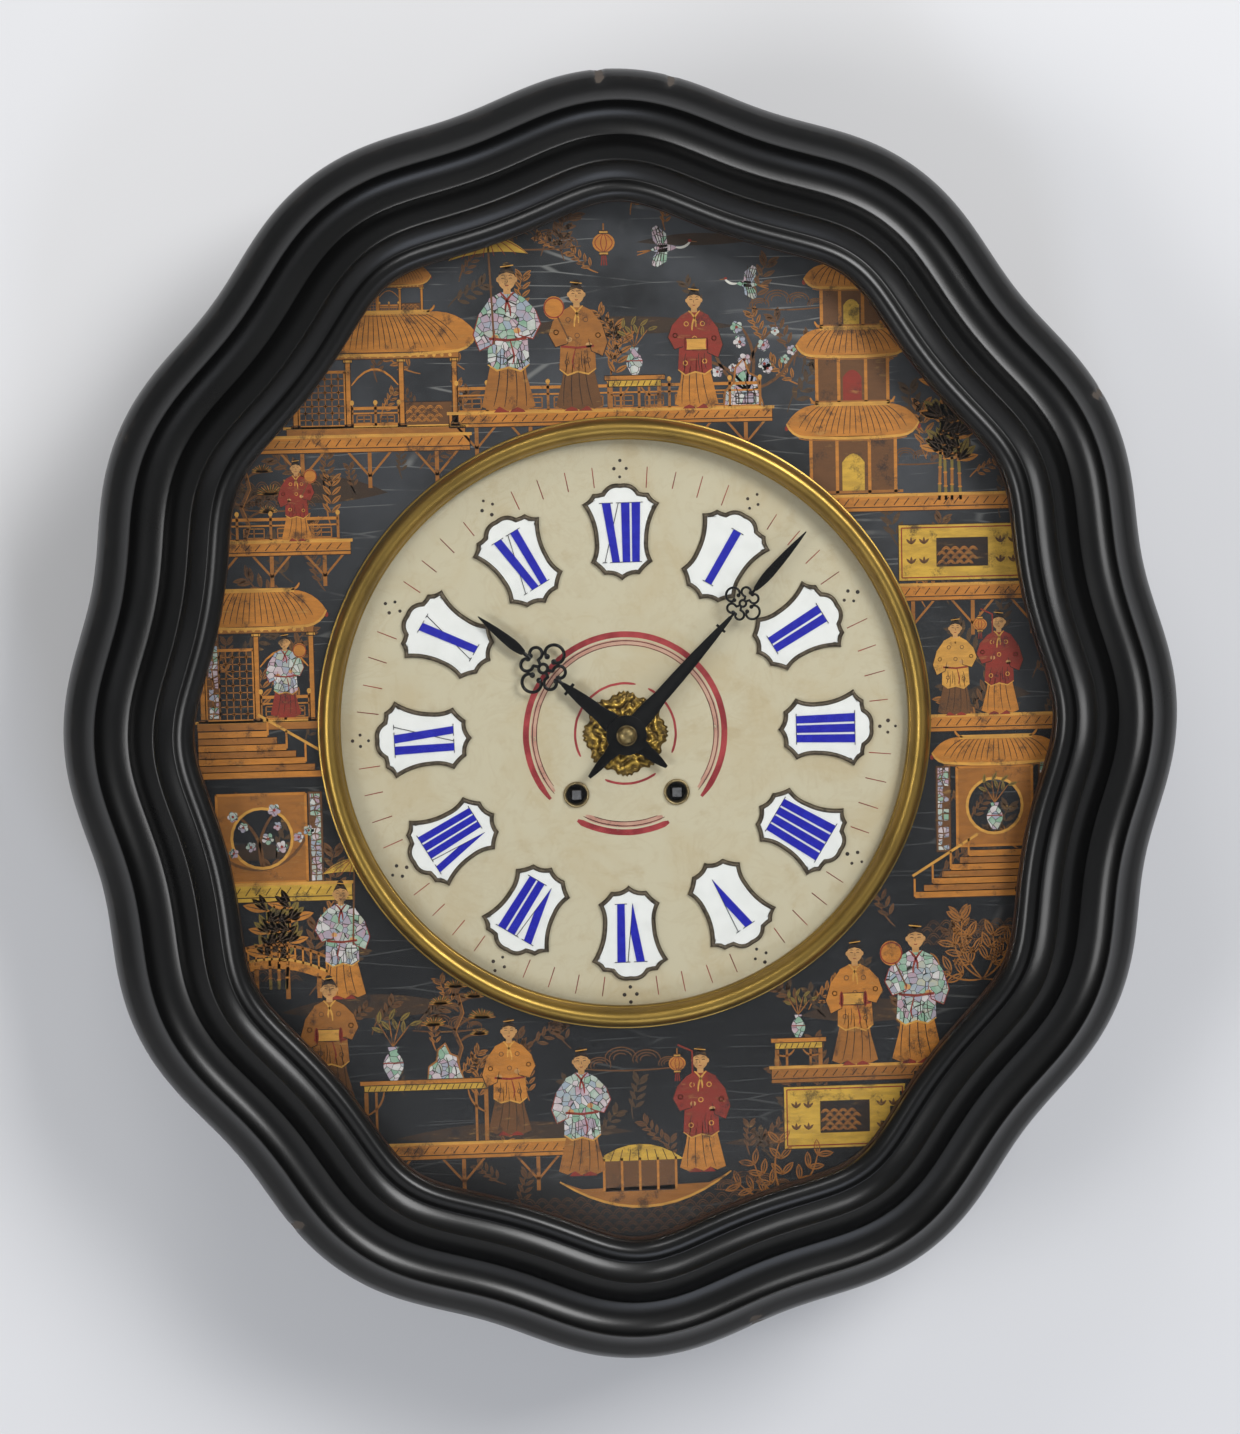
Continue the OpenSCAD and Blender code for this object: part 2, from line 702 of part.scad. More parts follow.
module bezel() {
    half = bezel_w / 2;
    mid_r = bezel_r - half;
    color(aged_brass) translate([0, panel_y, 0]) rotate([90, 0, 0]) rotate_extrude($fn = 2 * round_fn) {
        translate([mid_r - half, 0]) square([bezel_w, bezel_h - half]);
        intersection() {
            translate([mid_r, bezel_h - half]) circle(r = half, $fn = 48);
            translate([mid_r - half, 0]) square([bezel_w, bezel_h + 1]);
        }
    }
}
module dial() {
    color(alabaster) slab(dial_back_y, dial_t) difference() {
        translate(hub) circle(r = dial_r, $fn = 2 * round_fn);
        translate(hub) circle(r = dial_bore_r, $fn = small_fn);
        for (p = [going_p, strike_p]) translate(p) circle(r = winding_hole_r + 0.5 + seat_gap, $fn = 48);
    }
}
module each_hour() {
    for (h = [1:12]) translate(hub) rotate(-30 * h) translate([0, plaque_ring]) children();
}
module cartouche_rims() {
    color(bronze) slab(dial_y, rim_t) each_hour() difference() {
        polygon(plaque);
        polygon(inset(plaque, rim_w));
    }
}
module enamel_plaques() {
    color(enamel) slab(dial_y, enamel_t) each_hour() polygon(inset(plaque, rim_w + 3 * seat_gap));
}
module winding_grommets() {
    color(bronze) for (p = [going_p, strike_p]) {
        slab(dial_y, 1) annulus(p, grommet_r, winding_hole_r, 48);
        slab(dial_back_y, dial_t) annulus(p, winding_hole_r + 0.5, winding_hole_r, 48);
    }
}
module centre_rosette() {
    inner_r = hour_pipe_r + 0.6;
    profile = concat(
        [[inner_r, 0], [rosette_r - 1, 0], [rosette_r, 0.6]],
        bow([rosette_r, 0.6], [rosette_r - 7, rosette_h * 0.8], -0.8, 4),
        bow([rosette_r - 7, rosette_h * 0.8], [inner_r + 3, rosette_h * 0.6], 0.7, 4),
        [[inner_r + 3, rosette_h * 0.6], [inner_r, rosette_h]]
    );
    color(gilt) translate([0, dial_y, hub[1]]) rotate([90, 0, 0]) union() {
        rotate_extrude($fn = 48) polygon(profile);
        // Leaves round the rim
        for (a = [0:30:359]) rotate(a) translate([rosette_r - 2.6, 0, 0]) cylinder(h = 1.6, r = 3.4, $fn = 24);
    }
}

// Movement: plates and what stands on them

module train_plate(y) {
    color(aged_brass) slab(y, plate_t) difference() {
        translate(hub - [plate_half_w, plate_bottom]) square([2 * plate_half_w, plate_bottom + plate_top]);
        for (p = [inter_p, pin_p, third_p, escape_p, lock_p, fly_p, hammer_p])
            translate(p) circle(r = pivot_r + run_gap, $fn = 24);
        for (x = pillar_x, z = pillar_z) translate(hub + [x, z]) circle(r = stud_r + seat_gap, $fn = 24);
        for (p = [going_p, strike_p]) translate(p) circle(r = winding_r + run_gap, $fn = small_fn);
        children();
    }
}
module back_plate() {
    train_plate(back_plate_rear_y) {
        translate(hub) circle(r = pivot_r + run_gap, $fn = 24);
        translate(anchor_p) circle(r = 3.5, $fn = 24);
    }
}
module front_plate() {
    train_plate(front_plate_y + plate_t) {
        translate(hub) circle(r = centre_shaft_r + run_gap, $fn = 24);
        translate(anchor_p) circle(r = pivot_r + run_gap, $fn = 24);
        translate(motion_p) circle(r = 1.2 + seat_gap, $fn = 24);
    }
}
module plate_pillars() {
    color(aged_brass) for (x = pillar_x, z = pillar_z) {
        bar(hub + [x, z], back_plate_y, train_gap, pillar_r);
        bar(hub + [x, z], back_plate_rear_y + 4, train_gap + 2 * plate_t + 8, stud_r);
    }
}
module pillar_nuts() {
    color(steel) for (x = pillar_x, z = pillar_z)
        slab(front_plate_y, 3) translate(hub + [x, z]) difference() {
            circle(r = pillar_r, $fn = 6);
            circle(r = stud_r + seat_gap, $fn = 24);
        }
}
module movement_posts() {
    color(steel) for (x = pillar_x, z = pillar_z) difference() {
        bar(hub + [x, z], -wood_t, back_post_l, pillar_r + 0.5);
        bar(hub + [x, z], back_plate_rear_y + 5, 6, stud_r + seat_gap);
    }
}
back_post_l = -back_plate_rear_y - wood_t;
module dial_feet() {
    color(aged_brass) for (p = feet) bar(hub + p, dial_back_y + motion_gap, motion_gap, foot_r);
}
module motion_post() {
    color(steel) {
        bar(motion_p, front_plate_y + plate_t - 0.2, plate_t - 0.2, 1.2);
        bar(motion_p, front_plate_y, motion_gap - 2, centre_shaft_r);
    }
}
module back_cock() {
    foot = 6;
    half = 18;
    bridge_t = bridge_d[1] - bridge_d[0];
    color(aged_brass) union() {
        for (x = [-half, half - foot])
            translate([x, back_plate_rear_y, anchor_p[1] - 5])
                cube([foot, bridge_d[0] + 0.5, 18]);
        translate([-half, back_plate_rear_y + bridge_d[0], anchor_p[1] - 5]) difference() {
            cube([2 * half, bridge_t, 18]);
            translate([half, bridge_t + 1, 5]) rotate([90, 0, 0])
                cylinder(h = bridge_t + 2, r = pivot_r + run_gap, $fn = 24);
        }
        translate([-5, back_plate_rear_y + bridge_d[1] - 0.5, anchor_p[1] + cock_rise]) difference() {
            cube([10, 8, cock_h]);
            translate([5 - slot_half, 0.5 + pendulum_y - strip_w / 2 - back_plate_rear_y - bridge_d[1] - 0.5, -1])
                cube([2 * slot_half, strip_w + 10, cock_h + 2]);
        }
    }
}
bell_wall = 1.6;
bell_stand_l = 23;
bell_y = -wood_t - bell_stand_l;
module bell_stand() {
    color(steel) {
        bar(bell_p, -wood_t, bell_stand_l, pillar_r);
        bar(bell_p, bell_y, 6, stud_r);
        bar(bell_p, bell_y - bell_wall, 2.5, 3.5);
    }
}
module bell() {
    crown_r = pillar_r + 2;
    function dome(r, d) = concat(
        [[stud_r + seat_gap, 0]],
        bow([crown_r, 0], [r * 0.62, d * 0.12], -0.6, 3),
        bow([r * 0.62, d * 0.12], [r * 0.92, d * 0.55], -2.6, 4),
        bow([r * 0.92, d * 0.55], [r, d], -0.8, 3),
        [[r, d]]
    );
    outer = dome(bell_r, bell_d);
    inner = [for (i = [len(outer) - 1:-1:0]) [max(outer[i][0] - (i == 0 ? 0 : bell_wall), outer[0][0]),
        i == len(outer) - 1 ? bell_d : outer[i][1] + bell_wall]];
    color(aged_brass) translate([bell_p[0], bell_y, bell_p[1]]) rotate([90, 0, 0])
        rotate_extrude($fn = 48) polygon(concat(outer, inner));
}

// Clicks that let the winding arbors turn one way only

click_gap = [13.5, 9];
click_y = ratchet_y;
click_stud_r = 1.1;
spring_foot = [4, 6];
spring_at = [4, 14];
spring_l = 12;
spring_t = 0.6;
function click_pivot(side) = hub + [side * (arbor_x + click_gap[0]), click_gap[1] - arbor_drop];
module click_springs() {
    color(steel) for (side = [-1, 1]) {
        foot = click_pivot(side) + [side * spring_at[0], spring_at[1]];
        edge = side > 0 ? 3 * spring_t : -2 * spring_t;
        slab(front_plate_y, front_plate_y - click_y + ratchet_t) translate(foot - spring_foot / 2)
            square(spring_foot);
        slab(click_y, ratchet_t) translate(foot - [edge, spring_l]) square([spring_t, spring_l]);
        bar(click_pivot(side), front_plate_y, 3.2, click_stud_r);
    }
}
click_eye_r = 2.6;
click_eye_open = 40;
module click(p, side) {
    pivot = click_pivot(side);
    nose = p + (ratchet_r + free_gap + 0.7) * toward(side > 0 ? 50 : 130);
    eye_n = 16;
    eye = [for (i = [0:eye_n]) let (a = click_eye_open - 180 + i * (360 - 2 * click_eye_open) / eye_n)
        pivot + click_eye_r * [side * cos(a), sin(a)]];
    color(steel) slab(click_y, ratchet_t) difference() {
        polygon(concat(eye, [nose + [0, 0.7], nose - [0, 0.5]]));
        translate(pivot) circle(r = click_stud_r + run_gap, $fn = 24);
    }
}
module going_click() click(going_p, 1);
module strike_click() click(strike_p, -1);

// Winding arbor with its ratchet and its square
module winding_arbor(p, lean) {
    square_y = front_plate_y - 4;
    square_l = square_y - dial_y + 2;
    color(steel) {
        bar(p, back_plate_rear_y - 0.2, train_gap + 2 * plate_t + 4, winding_r - run_gap / 2);
        slab(square_y, square_l) translate(p - [square_half, square_half]) square(2 * square_half);
        slab(ratchet_y, ratchet_t) translate(p) mirror([lean, 0])
            polygon(saw(ratchet_n, ratchet_r, 1, 0));
    }
}
module going_winding_arbor() winding_arbor(going_p, 0);
module strike_winding_arbor() winding_arbor(strike_p, 1);

// Going train

module barrel(p, turn) {
    color(aged_brass) difference() {
        union() {
            train_bar(p, drum_d, 21, round_fn);
            train_slab(barrel_d) translate(p) polygon(teeth(barrel_n, barrel_m, turn, wheel_fat));
            train_bar(p, [barrel_d[1] - 0.1, barrel_d[1] + 2], 6);
        }
        train_bar(p, [drum_d[0] - 1, barrel_d[1] + 3], winding_r + run_gap);
    }
}
module going_barrel() barrel(going_p, going_turn);
module strike_barrel() barrel(strike_p, centre_turn);
module intermediate_wheel() {
    color(aged_brass) {
        arbor(inter_p);
        train_slab(first_pinion_d) pinion(inter_p, first_pinion_n, barrel_m, centre_turn);
        train_slab(inter_d) wheel(inter_p, inter_n, inter_m, inter_turn);
    }
}
module centre_arbor() {
    tip_y = nut_y - nut_h + 1.4;
    color(steel) {
        train_bar(hub, [free_gap, train_gap], arbor_r + 0.3);
        train_bar(hub, [0.2 - plate_t, 1], pivot_r);
        bar(hub, front_plate_y + plate_t, front_plate_y + plate_t - tip_y, centre_shaft_r);
        train_slab(centre_pinion_d) pinion(hub, centre_pinion_n, inter_m, centre_turn);
    }
}
module centre_wheel() {
    color(aged_brass) train_slab(centre_d) difference() {
        wheel(hub, centre_n, centre_m, centre_turn);
        translate(hub) circle(r = arbor_r + 0.3 + seat_gap, $fn = small_fn);
    }
}
module third_wheel() {
    color(aged_brass) {
        arbor(third_p);
        train_slab(third_pinion_d) pinion(third_p, third_pinion_n, centre_m, third_turn);
        train_slab(third_d) wheel(third_p, third_n, third_m, centre_turn);
    }
}
module escape_wheel() {
    color(aged_brass) {
        arbor(escape_p);
        train_slab(escape_pinion_d) pinion(escape_p, escape_pinion_n, third_m, escape_turn);
        train_slab(escape_d) translate(escape_p) {
            difference() {
                polygon(saw(escape_n, escape_r, 1.1, 0));
                circle(r = escape_r - 2.6, $fn = 48);
            }
            circle(r = 2.4, $fn = 24);
            for (a = [0:90:359]) rotate(a) translate([1.5, -0.6]) square([escape_r - 3.6, 1.2]);
        }
    }
}

// Pallets reach down each side of the escape wheel and stay clear of its teeth as they rock
pallet_gap = 0.75;
module anchor() {
    reach = escape_r + pallet_gap;
    span = 44;
    inner_r = norm(reach * toward(90 - span) - [0, anchor_rise]);
    color(steel) {
        train_bar(anchor_p, [-plate_t - bridge_d[0] + free_gap, train_gap - free_gap], arbor_r);
        train_bar(anchor_p, [-plate_t - bridge_d[1] + 0.2, train_gap + plate_t - 0.2], pivot_r);
        train_slab(anchor_d) {
            translate(anchor_p) circle(r = 3, $fn = 24);
            for (side = [-1, 1]) {
                tip = escape_p + reach * toward(90 - side * span);
                back = escape_p + (reach + 3.4) * toward(90 - side * (span + 1));
                polygon([anchor_p + [0, 2.8], anchor_p - [0, 1.6], tip + [-side * 0.2, 0.9], tip,
                    back + [0, -0.6], back + [0, 0.8]]);
            }
        }
    }
}
module crutch() {
    fork_half = rod_r + 0.35;
    color(steel) difference() {
        union() {
            bar(anchor_p, back_plate_rear_y + 4.5, 3, 3.2);
            translate([-1.2, back_plate_rear_y + 1.8, anchor_p[1] - crutch_l]) cube([2.4, 1.6, crutch_l - 2]);
            translate([-fork_half - 1, back_plate_rear_y + 1.8, anchor_p[1] - crutch_l - 2])
                cube([2 * fork_half + 2, 1.6, 3]);
            for (x = [-fork_half - 1, fork_half])
                translate([x, back_plate_rear_y + 2, anchor_p[1] - crutch_l - 2])
                    cube([1, pendulum_y - back_plate_rear_y + 1, 3]);
        }
        bar(anchor_p, back_plate_rear_y + 6, 6, arbor_r + seat_gap);
    }
}

// Pendulum

module suspension_spring() {
    top_z = anchor_p[1] + cock_rise + cock_h + free_gap;
    color(steel) {
        translate([-strip_t / 2, pendulum_y - strip_w / 2, anchor_p[1] - axis_gap])
            cube([strip_t, strip_w, top_z - anchor_p[1] + axis_gap + 1]);
        translate([-3, pendulum_y - strip_w / 2, top_z]) cube([6, strip_w, 4]);
    }
}
rod_end_z = anchor_p[1] - pendulum_l - bob_r - 12;
module pendulum_rod() {
    color(aged_brass) {
        translate([-2.5, pendulum_y - strip_w / 2, anchor_p[1] - axis_gap - chop_h]) cube([5, strip_w, chop_h]);
        translate([0, pendulum_y, rod_end_z])
            cylinder(h = anchor_p[1] - axis_gap - chop_h + 1 - rod_end_z, r = rod_r, $fn = 24);
    }
}
module pendulum_bob() {
    face = concat([[0, -bob_t / 2]], bow([bob_r * 0.2, -bob_t / 2], [bob_r, -0.8], -1, 6), [[bob_r, -0.8]]);
    lens = concat(face, [for (i = [len(face) - 1:-1:0]) [face[i][0], -face[i][1]]]);
    color(aged_brass) difference() {
        translate([0, pendulum_y, anchor_p[1] - pendulum_l]) rotate([90, 0, 0])
            rotate_extrude($fn = round_fn) polygon(lens);
        translate([0, pendulum_y, anchor_p[1] - pendulum_l - bob_r - 1])
            cylinder(h = 2 * bob_r + 2, r = rod_r + seat_gap, $fn = 24);
    }
}
module rating_nut() {
    nut_z = anchor_p[1] - pendulum_l - bob_r - 5;
    color(aged_brass) translate([0, pendulum_y, nut_z]) difference() {
        cylinder(h = 4.9, r = 5, $fn = 36);
        translate([0, 0, -1]) cylinder(h = 7, r = rod_r + run_gap, $fn = 24);
    }
}

// Motion work and hands

module cannon_pinion() {
    pipe_l = cannon_y - nut_y - 0.2;
    color(steel) difference() {
        union() {
            slab(cannon_y, 2.5) pinion(hub, cannon_n, motion_m, centre_turn);
            bar(hub, cannon_y, pipe_l, cannon_r);
        }
        bar(hub, cannon_y + 1, pipe_l + 2, centre_shaft_r + seat_gap);
    }
}
module minute_wheel() {
    color(aged_brass) difference() {
        union() {
            slab(cannon_y - 0.3, 1.5) wheel(motion_p, minute_n, motion_m, minute_turn);
            slab(cannon_y - 1.6, 5.4) pinion(motion_p, minute_pinion_n, motion_m, centre_turn);
        }
        bar(motion_p, front_plate_y + 1, motion_gap, centre_shaft_r + run_gap);
    }
}
module hour_wheel() {
    pipe_l = hour_wheel_y - hour_hand_y + hand_t;
    color(aged_brass) difference() {
        union() {
            slab(hour_wheel_y, 1.5) union() {
                wheel(hub, hour_n, motion_m, hour_turn);
                translate(hub) circle(r = hour_pipe_r + 1.5, $fn = small_fn);
            }
            bar(hub, hour_wheel_y, pipe_l, hour_pipe_r, 48);
        }
        bar(hub, hour_wheel_y + 1, pipe_l + 2, cannon_r + run_gap);
    }
}
module hour_hand() {
    color(blackened) slab(hour_hand_y, hand_t) translate(hub) rotate(-hour_angle) difference() {
        union() {
            circle(r = boss_r - 1.5, $fn = 48);
            blade(-hour_tail, -3, 1.6, 6, 9, 0.55);
            blade(3, hour_scroll - 2.4 * hour_curl, 10, 7.6, 2.2, 0.35);
            translate([-3.5, hour_scroll - 17.4]) square([7, 1.5]);
            scrollwork(hour_scroll, hour_curl);
            blade(hour_scroll + 2 * hour_curl, hour_l, 1.4, 5.2, 0.5, 0.3);
        }
        circle(r = hour_pipe_r + seat_gap, $fn = 48);
    }
}
module minute_hand() {
    color(blackened) difference() {
        union() {
            slab(minute_hand_y, hand_t) translate(hub) rotate(-minute_angle) {
                blade(-minute_tail, -3, 1.6, 5, 8, 0.55);
                blade(3, minute_scroll - 2.4 * minute_curl, 9, 7, 1.8, 0.3);
                translate([-2.8, minute_scroll - 17.2]) square([5.6, 1.3]);
                scrollwork(minute_scroll, minute_curl);
                blade(minute_scroll + 2 * minute_curl, minute_l, 1.2, 4.8, 0.5, 0.3);
            }
            bar(hub, minute_hand_y, minute_boss_t, boss_r, 48);
        }
        bar(hub, minute_hand_y + 1, minute_boss_t + 2, cannon_r + seat_gap);
    }
}
module hand_nut() {
    color(gilt) difference() {
        bar(hub, nut_y, 1.4, nut_r + 0.4, 48);
        bar(hub, nut_y + 1, 4.2, centre_shaft_r + seat_gap);
    }
    cap_h = nut_h - 1.4;
    cap_r = (nut_r * nut_r + cap_h * cap_h) / (2 * cap_h);
    color(gilt) translate([0, nut_y - 1.4, hub[1]]) rotate([90, 0, 0]) difference() {
        rotate_extrude($fn = 48) intersection() {
            translate([0, cap_h - cap_r]) circle(r = cap_r, $fn = 96);
            square([nut_r, cap_h]);
        }
        translate([0, 0, -1]) cylinder(h = 2.9, r = centre_shaft_r + seat_gap, $fn = small_fn);
    }
}

// Strike train

module pin_wheel() {
    color(aged_brass) {
        arbor(pin_p);
        train_slab(first_pinion_d) pinion(pin_p, first_pinion_n, barrel_m, pin_turn);
        train_slab(pin_wheel_d) wheel(pin_p, inter_n, inter_m, centre_turn);
        for (a = [0:45:359]) train_bar(pin_p + pin_ring * toward(a), [pins_d[0] - 0.5, pins_d[1]], 0.7, 16);
    }
}
pin_ring = 14.6;
module locking_wheel() {
    color(aged_brass) {
        arbor(lock_p);
        train_slab(lock_pinion_d) pinion(lock_p, lock_pinion_n, inter_m, lock_turn);
        train_slab(centre_d) wheel(lock_p, lock_n, centre_m, centre_turn);
    }
}
module fly() {
    color(aged_brass) {
        arbor(fly_p);
        train_slab(fly_pinion_d) pinion(fly_p, fly_pinion_n, centre_m, fly_turn);
        train_slab(fan_d) translate(fly_p - [10, 0.4]) square([20, 0.8]);
    }
}
hammer_head = bell_p - [bell_r + 1.8 + 4.5, 0];
module hammer() {
    tail_l = norm(pin_p - hammer_p) - pin_ring - 0.7 - 0.6;
    color(steel) {
        arbor(hammer_p);
        train_slab(hammer_d) {
            translate(hammer_p) circle(r = 3, $fn = 24);
            translate(hammer_p) rotate(heading(hammer_p, hammer_head))
                translate([0, -1.25]) square([norm(hammer_head - hammer_p), 2.5]);
        }
        train_bar(hammer_head, [hammer_d[0] - 2.5, hammer_d[1] + 3.5], 4.5);
        train_slab(tail_d) {
            translate(hammer_p) circle(r = 2.6, $fn = 24);
            translate(hammer_p) rotate(heading(hammer_p, pin_p)) translate([0, -0.9]) square([tail_l, 1.8]);
        }
    }
}

back_board();
case_sides();
case_ends();
corner_blocks();
front_board();
lacquer_panel();
bezel();
dial();
cartouche_rims();
enamel_plaques();
winding_grommets();
centre_rosette();
hanging_plate();
case_hinge_leaves();
hinge_pins();
movement_posts();
back_plate();
front_plate();
plate_pillars();
pillar_nuts();
dial_feet();
back_cock();
bell_stand();
bell();
click_springs();
motion_post();
front_frame();
glass();
glass_bead();
door_hinge_leaves();
latch_post();
latch_button();
centre_arbor();
centre_wheel();
cannon_pinion();
minute_hand();
hand_nut();
hour_wheel();
hour_hand();
minute_wheel();
going_barrel();
going_winding_arbor();
intermediate_wheel();
third_wheel();
escape_wheel();
anchor();
crutch();
suspension_spring();
pendulum_rod();
pendulum_bob();
rating_nut();
strike_barrel();
strike_winding_arbor();
pin_wheel();
locking_wheel();
fly();
hammer();
going_click();
strike_click();
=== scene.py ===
"""Looks of an oval wall clock: a waved black frame, a lacquered panel, an alabaster dial and its hands.

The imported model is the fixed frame. Its nodes get finishes, and most pieces that show from the front
are replaced by finer ones in the same places. Lengths are in millimetres until a piece is finished.
"""

from __future__ import annotations

import json
import logging
import math
import random
from bisect import bisect_right
from dataclasses import dataclass, field, replace
from enum import Enum
from typing import Callable, Iterable, Sequence, Union

import bmesh
import bpy
from mathutils import Matrix, Vector, noise

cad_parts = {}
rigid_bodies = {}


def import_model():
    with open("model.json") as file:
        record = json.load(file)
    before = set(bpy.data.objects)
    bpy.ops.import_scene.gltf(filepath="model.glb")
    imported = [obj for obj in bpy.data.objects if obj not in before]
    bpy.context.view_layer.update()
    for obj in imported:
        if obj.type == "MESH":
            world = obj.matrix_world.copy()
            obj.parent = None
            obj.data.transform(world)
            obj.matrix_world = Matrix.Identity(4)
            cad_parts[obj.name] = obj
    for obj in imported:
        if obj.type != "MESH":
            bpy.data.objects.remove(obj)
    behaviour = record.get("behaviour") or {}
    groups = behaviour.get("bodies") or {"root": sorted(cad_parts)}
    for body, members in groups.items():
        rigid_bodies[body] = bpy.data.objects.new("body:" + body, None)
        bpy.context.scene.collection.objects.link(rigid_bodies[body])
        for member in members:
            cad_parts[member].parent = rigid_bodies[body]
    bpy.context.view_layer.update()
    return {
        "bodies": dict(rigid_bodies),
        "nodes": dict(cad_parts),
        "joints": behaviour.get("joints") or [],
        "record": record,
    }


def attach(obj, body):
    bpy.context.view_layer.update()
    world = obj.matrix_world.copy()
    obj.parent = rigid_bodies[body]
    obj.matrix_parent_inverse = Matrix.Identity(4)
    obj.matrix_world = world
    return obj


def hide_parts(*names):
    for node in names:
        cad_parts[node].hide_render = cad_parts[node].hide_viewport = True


LOG = logging.getLogger("wall_clock")
MM = 0.001
HUB_Z = -5.0
DIAL_Y = -107.0
PANEL_Y = -111.0

Point = tuple[float, float]
Mesh = bmesh.types.BMesh
Vert = bmesh.types.BMVert
Edge = bmesh.types.BMEdge
Face = bmesh.types.BMFace
Socket = bpy.types.NodeSocket
Value = Union[float, Sequence[float], "Wire", Socket]


def rgb(code: str) -> tuple[float, float, float, float]:
    """Turns a colour written as on a screen into the light that it stands for.

    Args:
        code: Six hexadecimal digits.

    Returns:
        Linear red, green and blue, and full alpha.
    """
    parts = [int(code[i : i + 2], 16) / 255 for i in (0, 2, 4)]
    light = [p / 12.92 if p <= 0.04045 else ((p + 0.055) / 1.055) ** 2.4 for p in parts]
    return (light[0], light[1], light[2], 1.0)


def bow(start: Point, end: Point, rise: float, count: int) -> list[Point]:
    """Finds points along a shallow curve that bulges to its left.

    Args:
        start: First point.
        end: Last point, which is left out.
        rise: Height of the bulge.
        count: Number of points.

    Returns:
        The points from start on.
    """
    dx, dz = end[0] - start[0], end[1] - start[1]
    length = math.hypot(dx, dz)
    points = []
    for i in range(count):
        f = i / count
        lift = 4 * f * (1 - f) * rise / length
        points.append((start[0] + f * dx - lift * dz, start[1] + f * dz + lift * dx))
    return points


def turned(points: Iterable[Point], angle: float, centre: Point = (0.0, 0.0)) -> list[Point]:
    """Turns points anticlockwise about the origin and then moves them.

    Args:
        points: Points to turn.
        angle: Angle in degrees.
        centre: Where the origin goes.

    Returns:
        The turned points.
    """
    c, s = heading(angle)
    return [(centre[0] + c * x - s * z, centre[1] + s * x + c * z) for x, z in points]


def heading(angle: float) -> Point:
    """Gives the cosine and sine of an angle in degrees."""
    return math.cos(math.radians(angle)), math.sin(math.radians(angle))


def arch(start: Point, end: Point, rise: float, count: int) -> list[Point]:
    """Finds points along a shallow curve that bulges to its left, its last point too."""
    return bow(start, end, rise, count) + [end]


def ellipse(x: float, z: float, wide: float, high: float, count: int) -> list[Point]:
    """Finds points round an ellipse, anticlockwise from its right."""
    turn = [math.tau * i / count for i in range(count)]
    return [(x + wide * math.cos(a), z + high * math.sin(a)) for a in turn]


def sized(points: Iterable[Point], size: float) -> list[Point]:
    """Makes points larger or smaller about the origin."""
    return [(x * size, z * size) for x, z in points]


def picked(made: Iterable, kind: type) -> list:
    """Picks what is of one kind from what an operator made."""
    return [g for g in made if isinstance(g, kind)]


class Wire:
    """A number that changes over a surface, carried by the output of a node."""

    def __init__(self, recipe: "Recipe", socket: Socket) -> None:
        """Keeps the recipe that owns the socket."""
        self.recipe = recipe
        self.socket = socket

    def __add__(self, other: Value) -> "Wire":
        """Adds."""
        return self.recipe.maths("ADD", self, other)

    def __radd__(self, other: Value) -> "Wire":
        """Adds to a plain number."""
        return self.recipe.maths("ADD", other, self)

    def __sub__(self, other: Value) -> "Wire":
        """Subtracts."""
        return self.recipe.maths("SUBTRACT", self, other)

    def __rsub__(self, other: Value) -> "Wire":
        """Subtracts from a plain number."""
        return self.recipe.maths("SUBTRACT", other, self)

    def __mul__(self, other: Value) -> "Wire":
        """Multiplies."""
        return self.recipe.maths("MULTIPLY", self, other)

    def __rmul__(self, other: Value) -> "Wire":
        """Multiplies a plain number."""
        return self.recipe.maths("MULTIPLY", other, self)

    def __truediv__(self, other: Value) -> "Wire":
        """Divides."""
        return self.recipe.maths("DIVIDE", self, other)

    def __pow__(self, other: Value) -> "Wire":
        """Raises to a power."""
        return self.recipe.maths("POWER", self, other)

    def between(self, low: float, high: float) -> "Wire":
        """Turns the number into a soft mask.

        Args:
            low: Number at which the mask is 0.
            high: Number at which the mask is 1.

        Returns:
            The mask.
        """
        settings = {"interpolation_type": "SMOOTHSTEP"}
        span = self.recipe.node("ShaderNodeMapRange", settings, {0: self, 1: low, 2: high, 3: 0.0, 4: 1.0})
        return Wire(self.recipe, span.outputs[0])


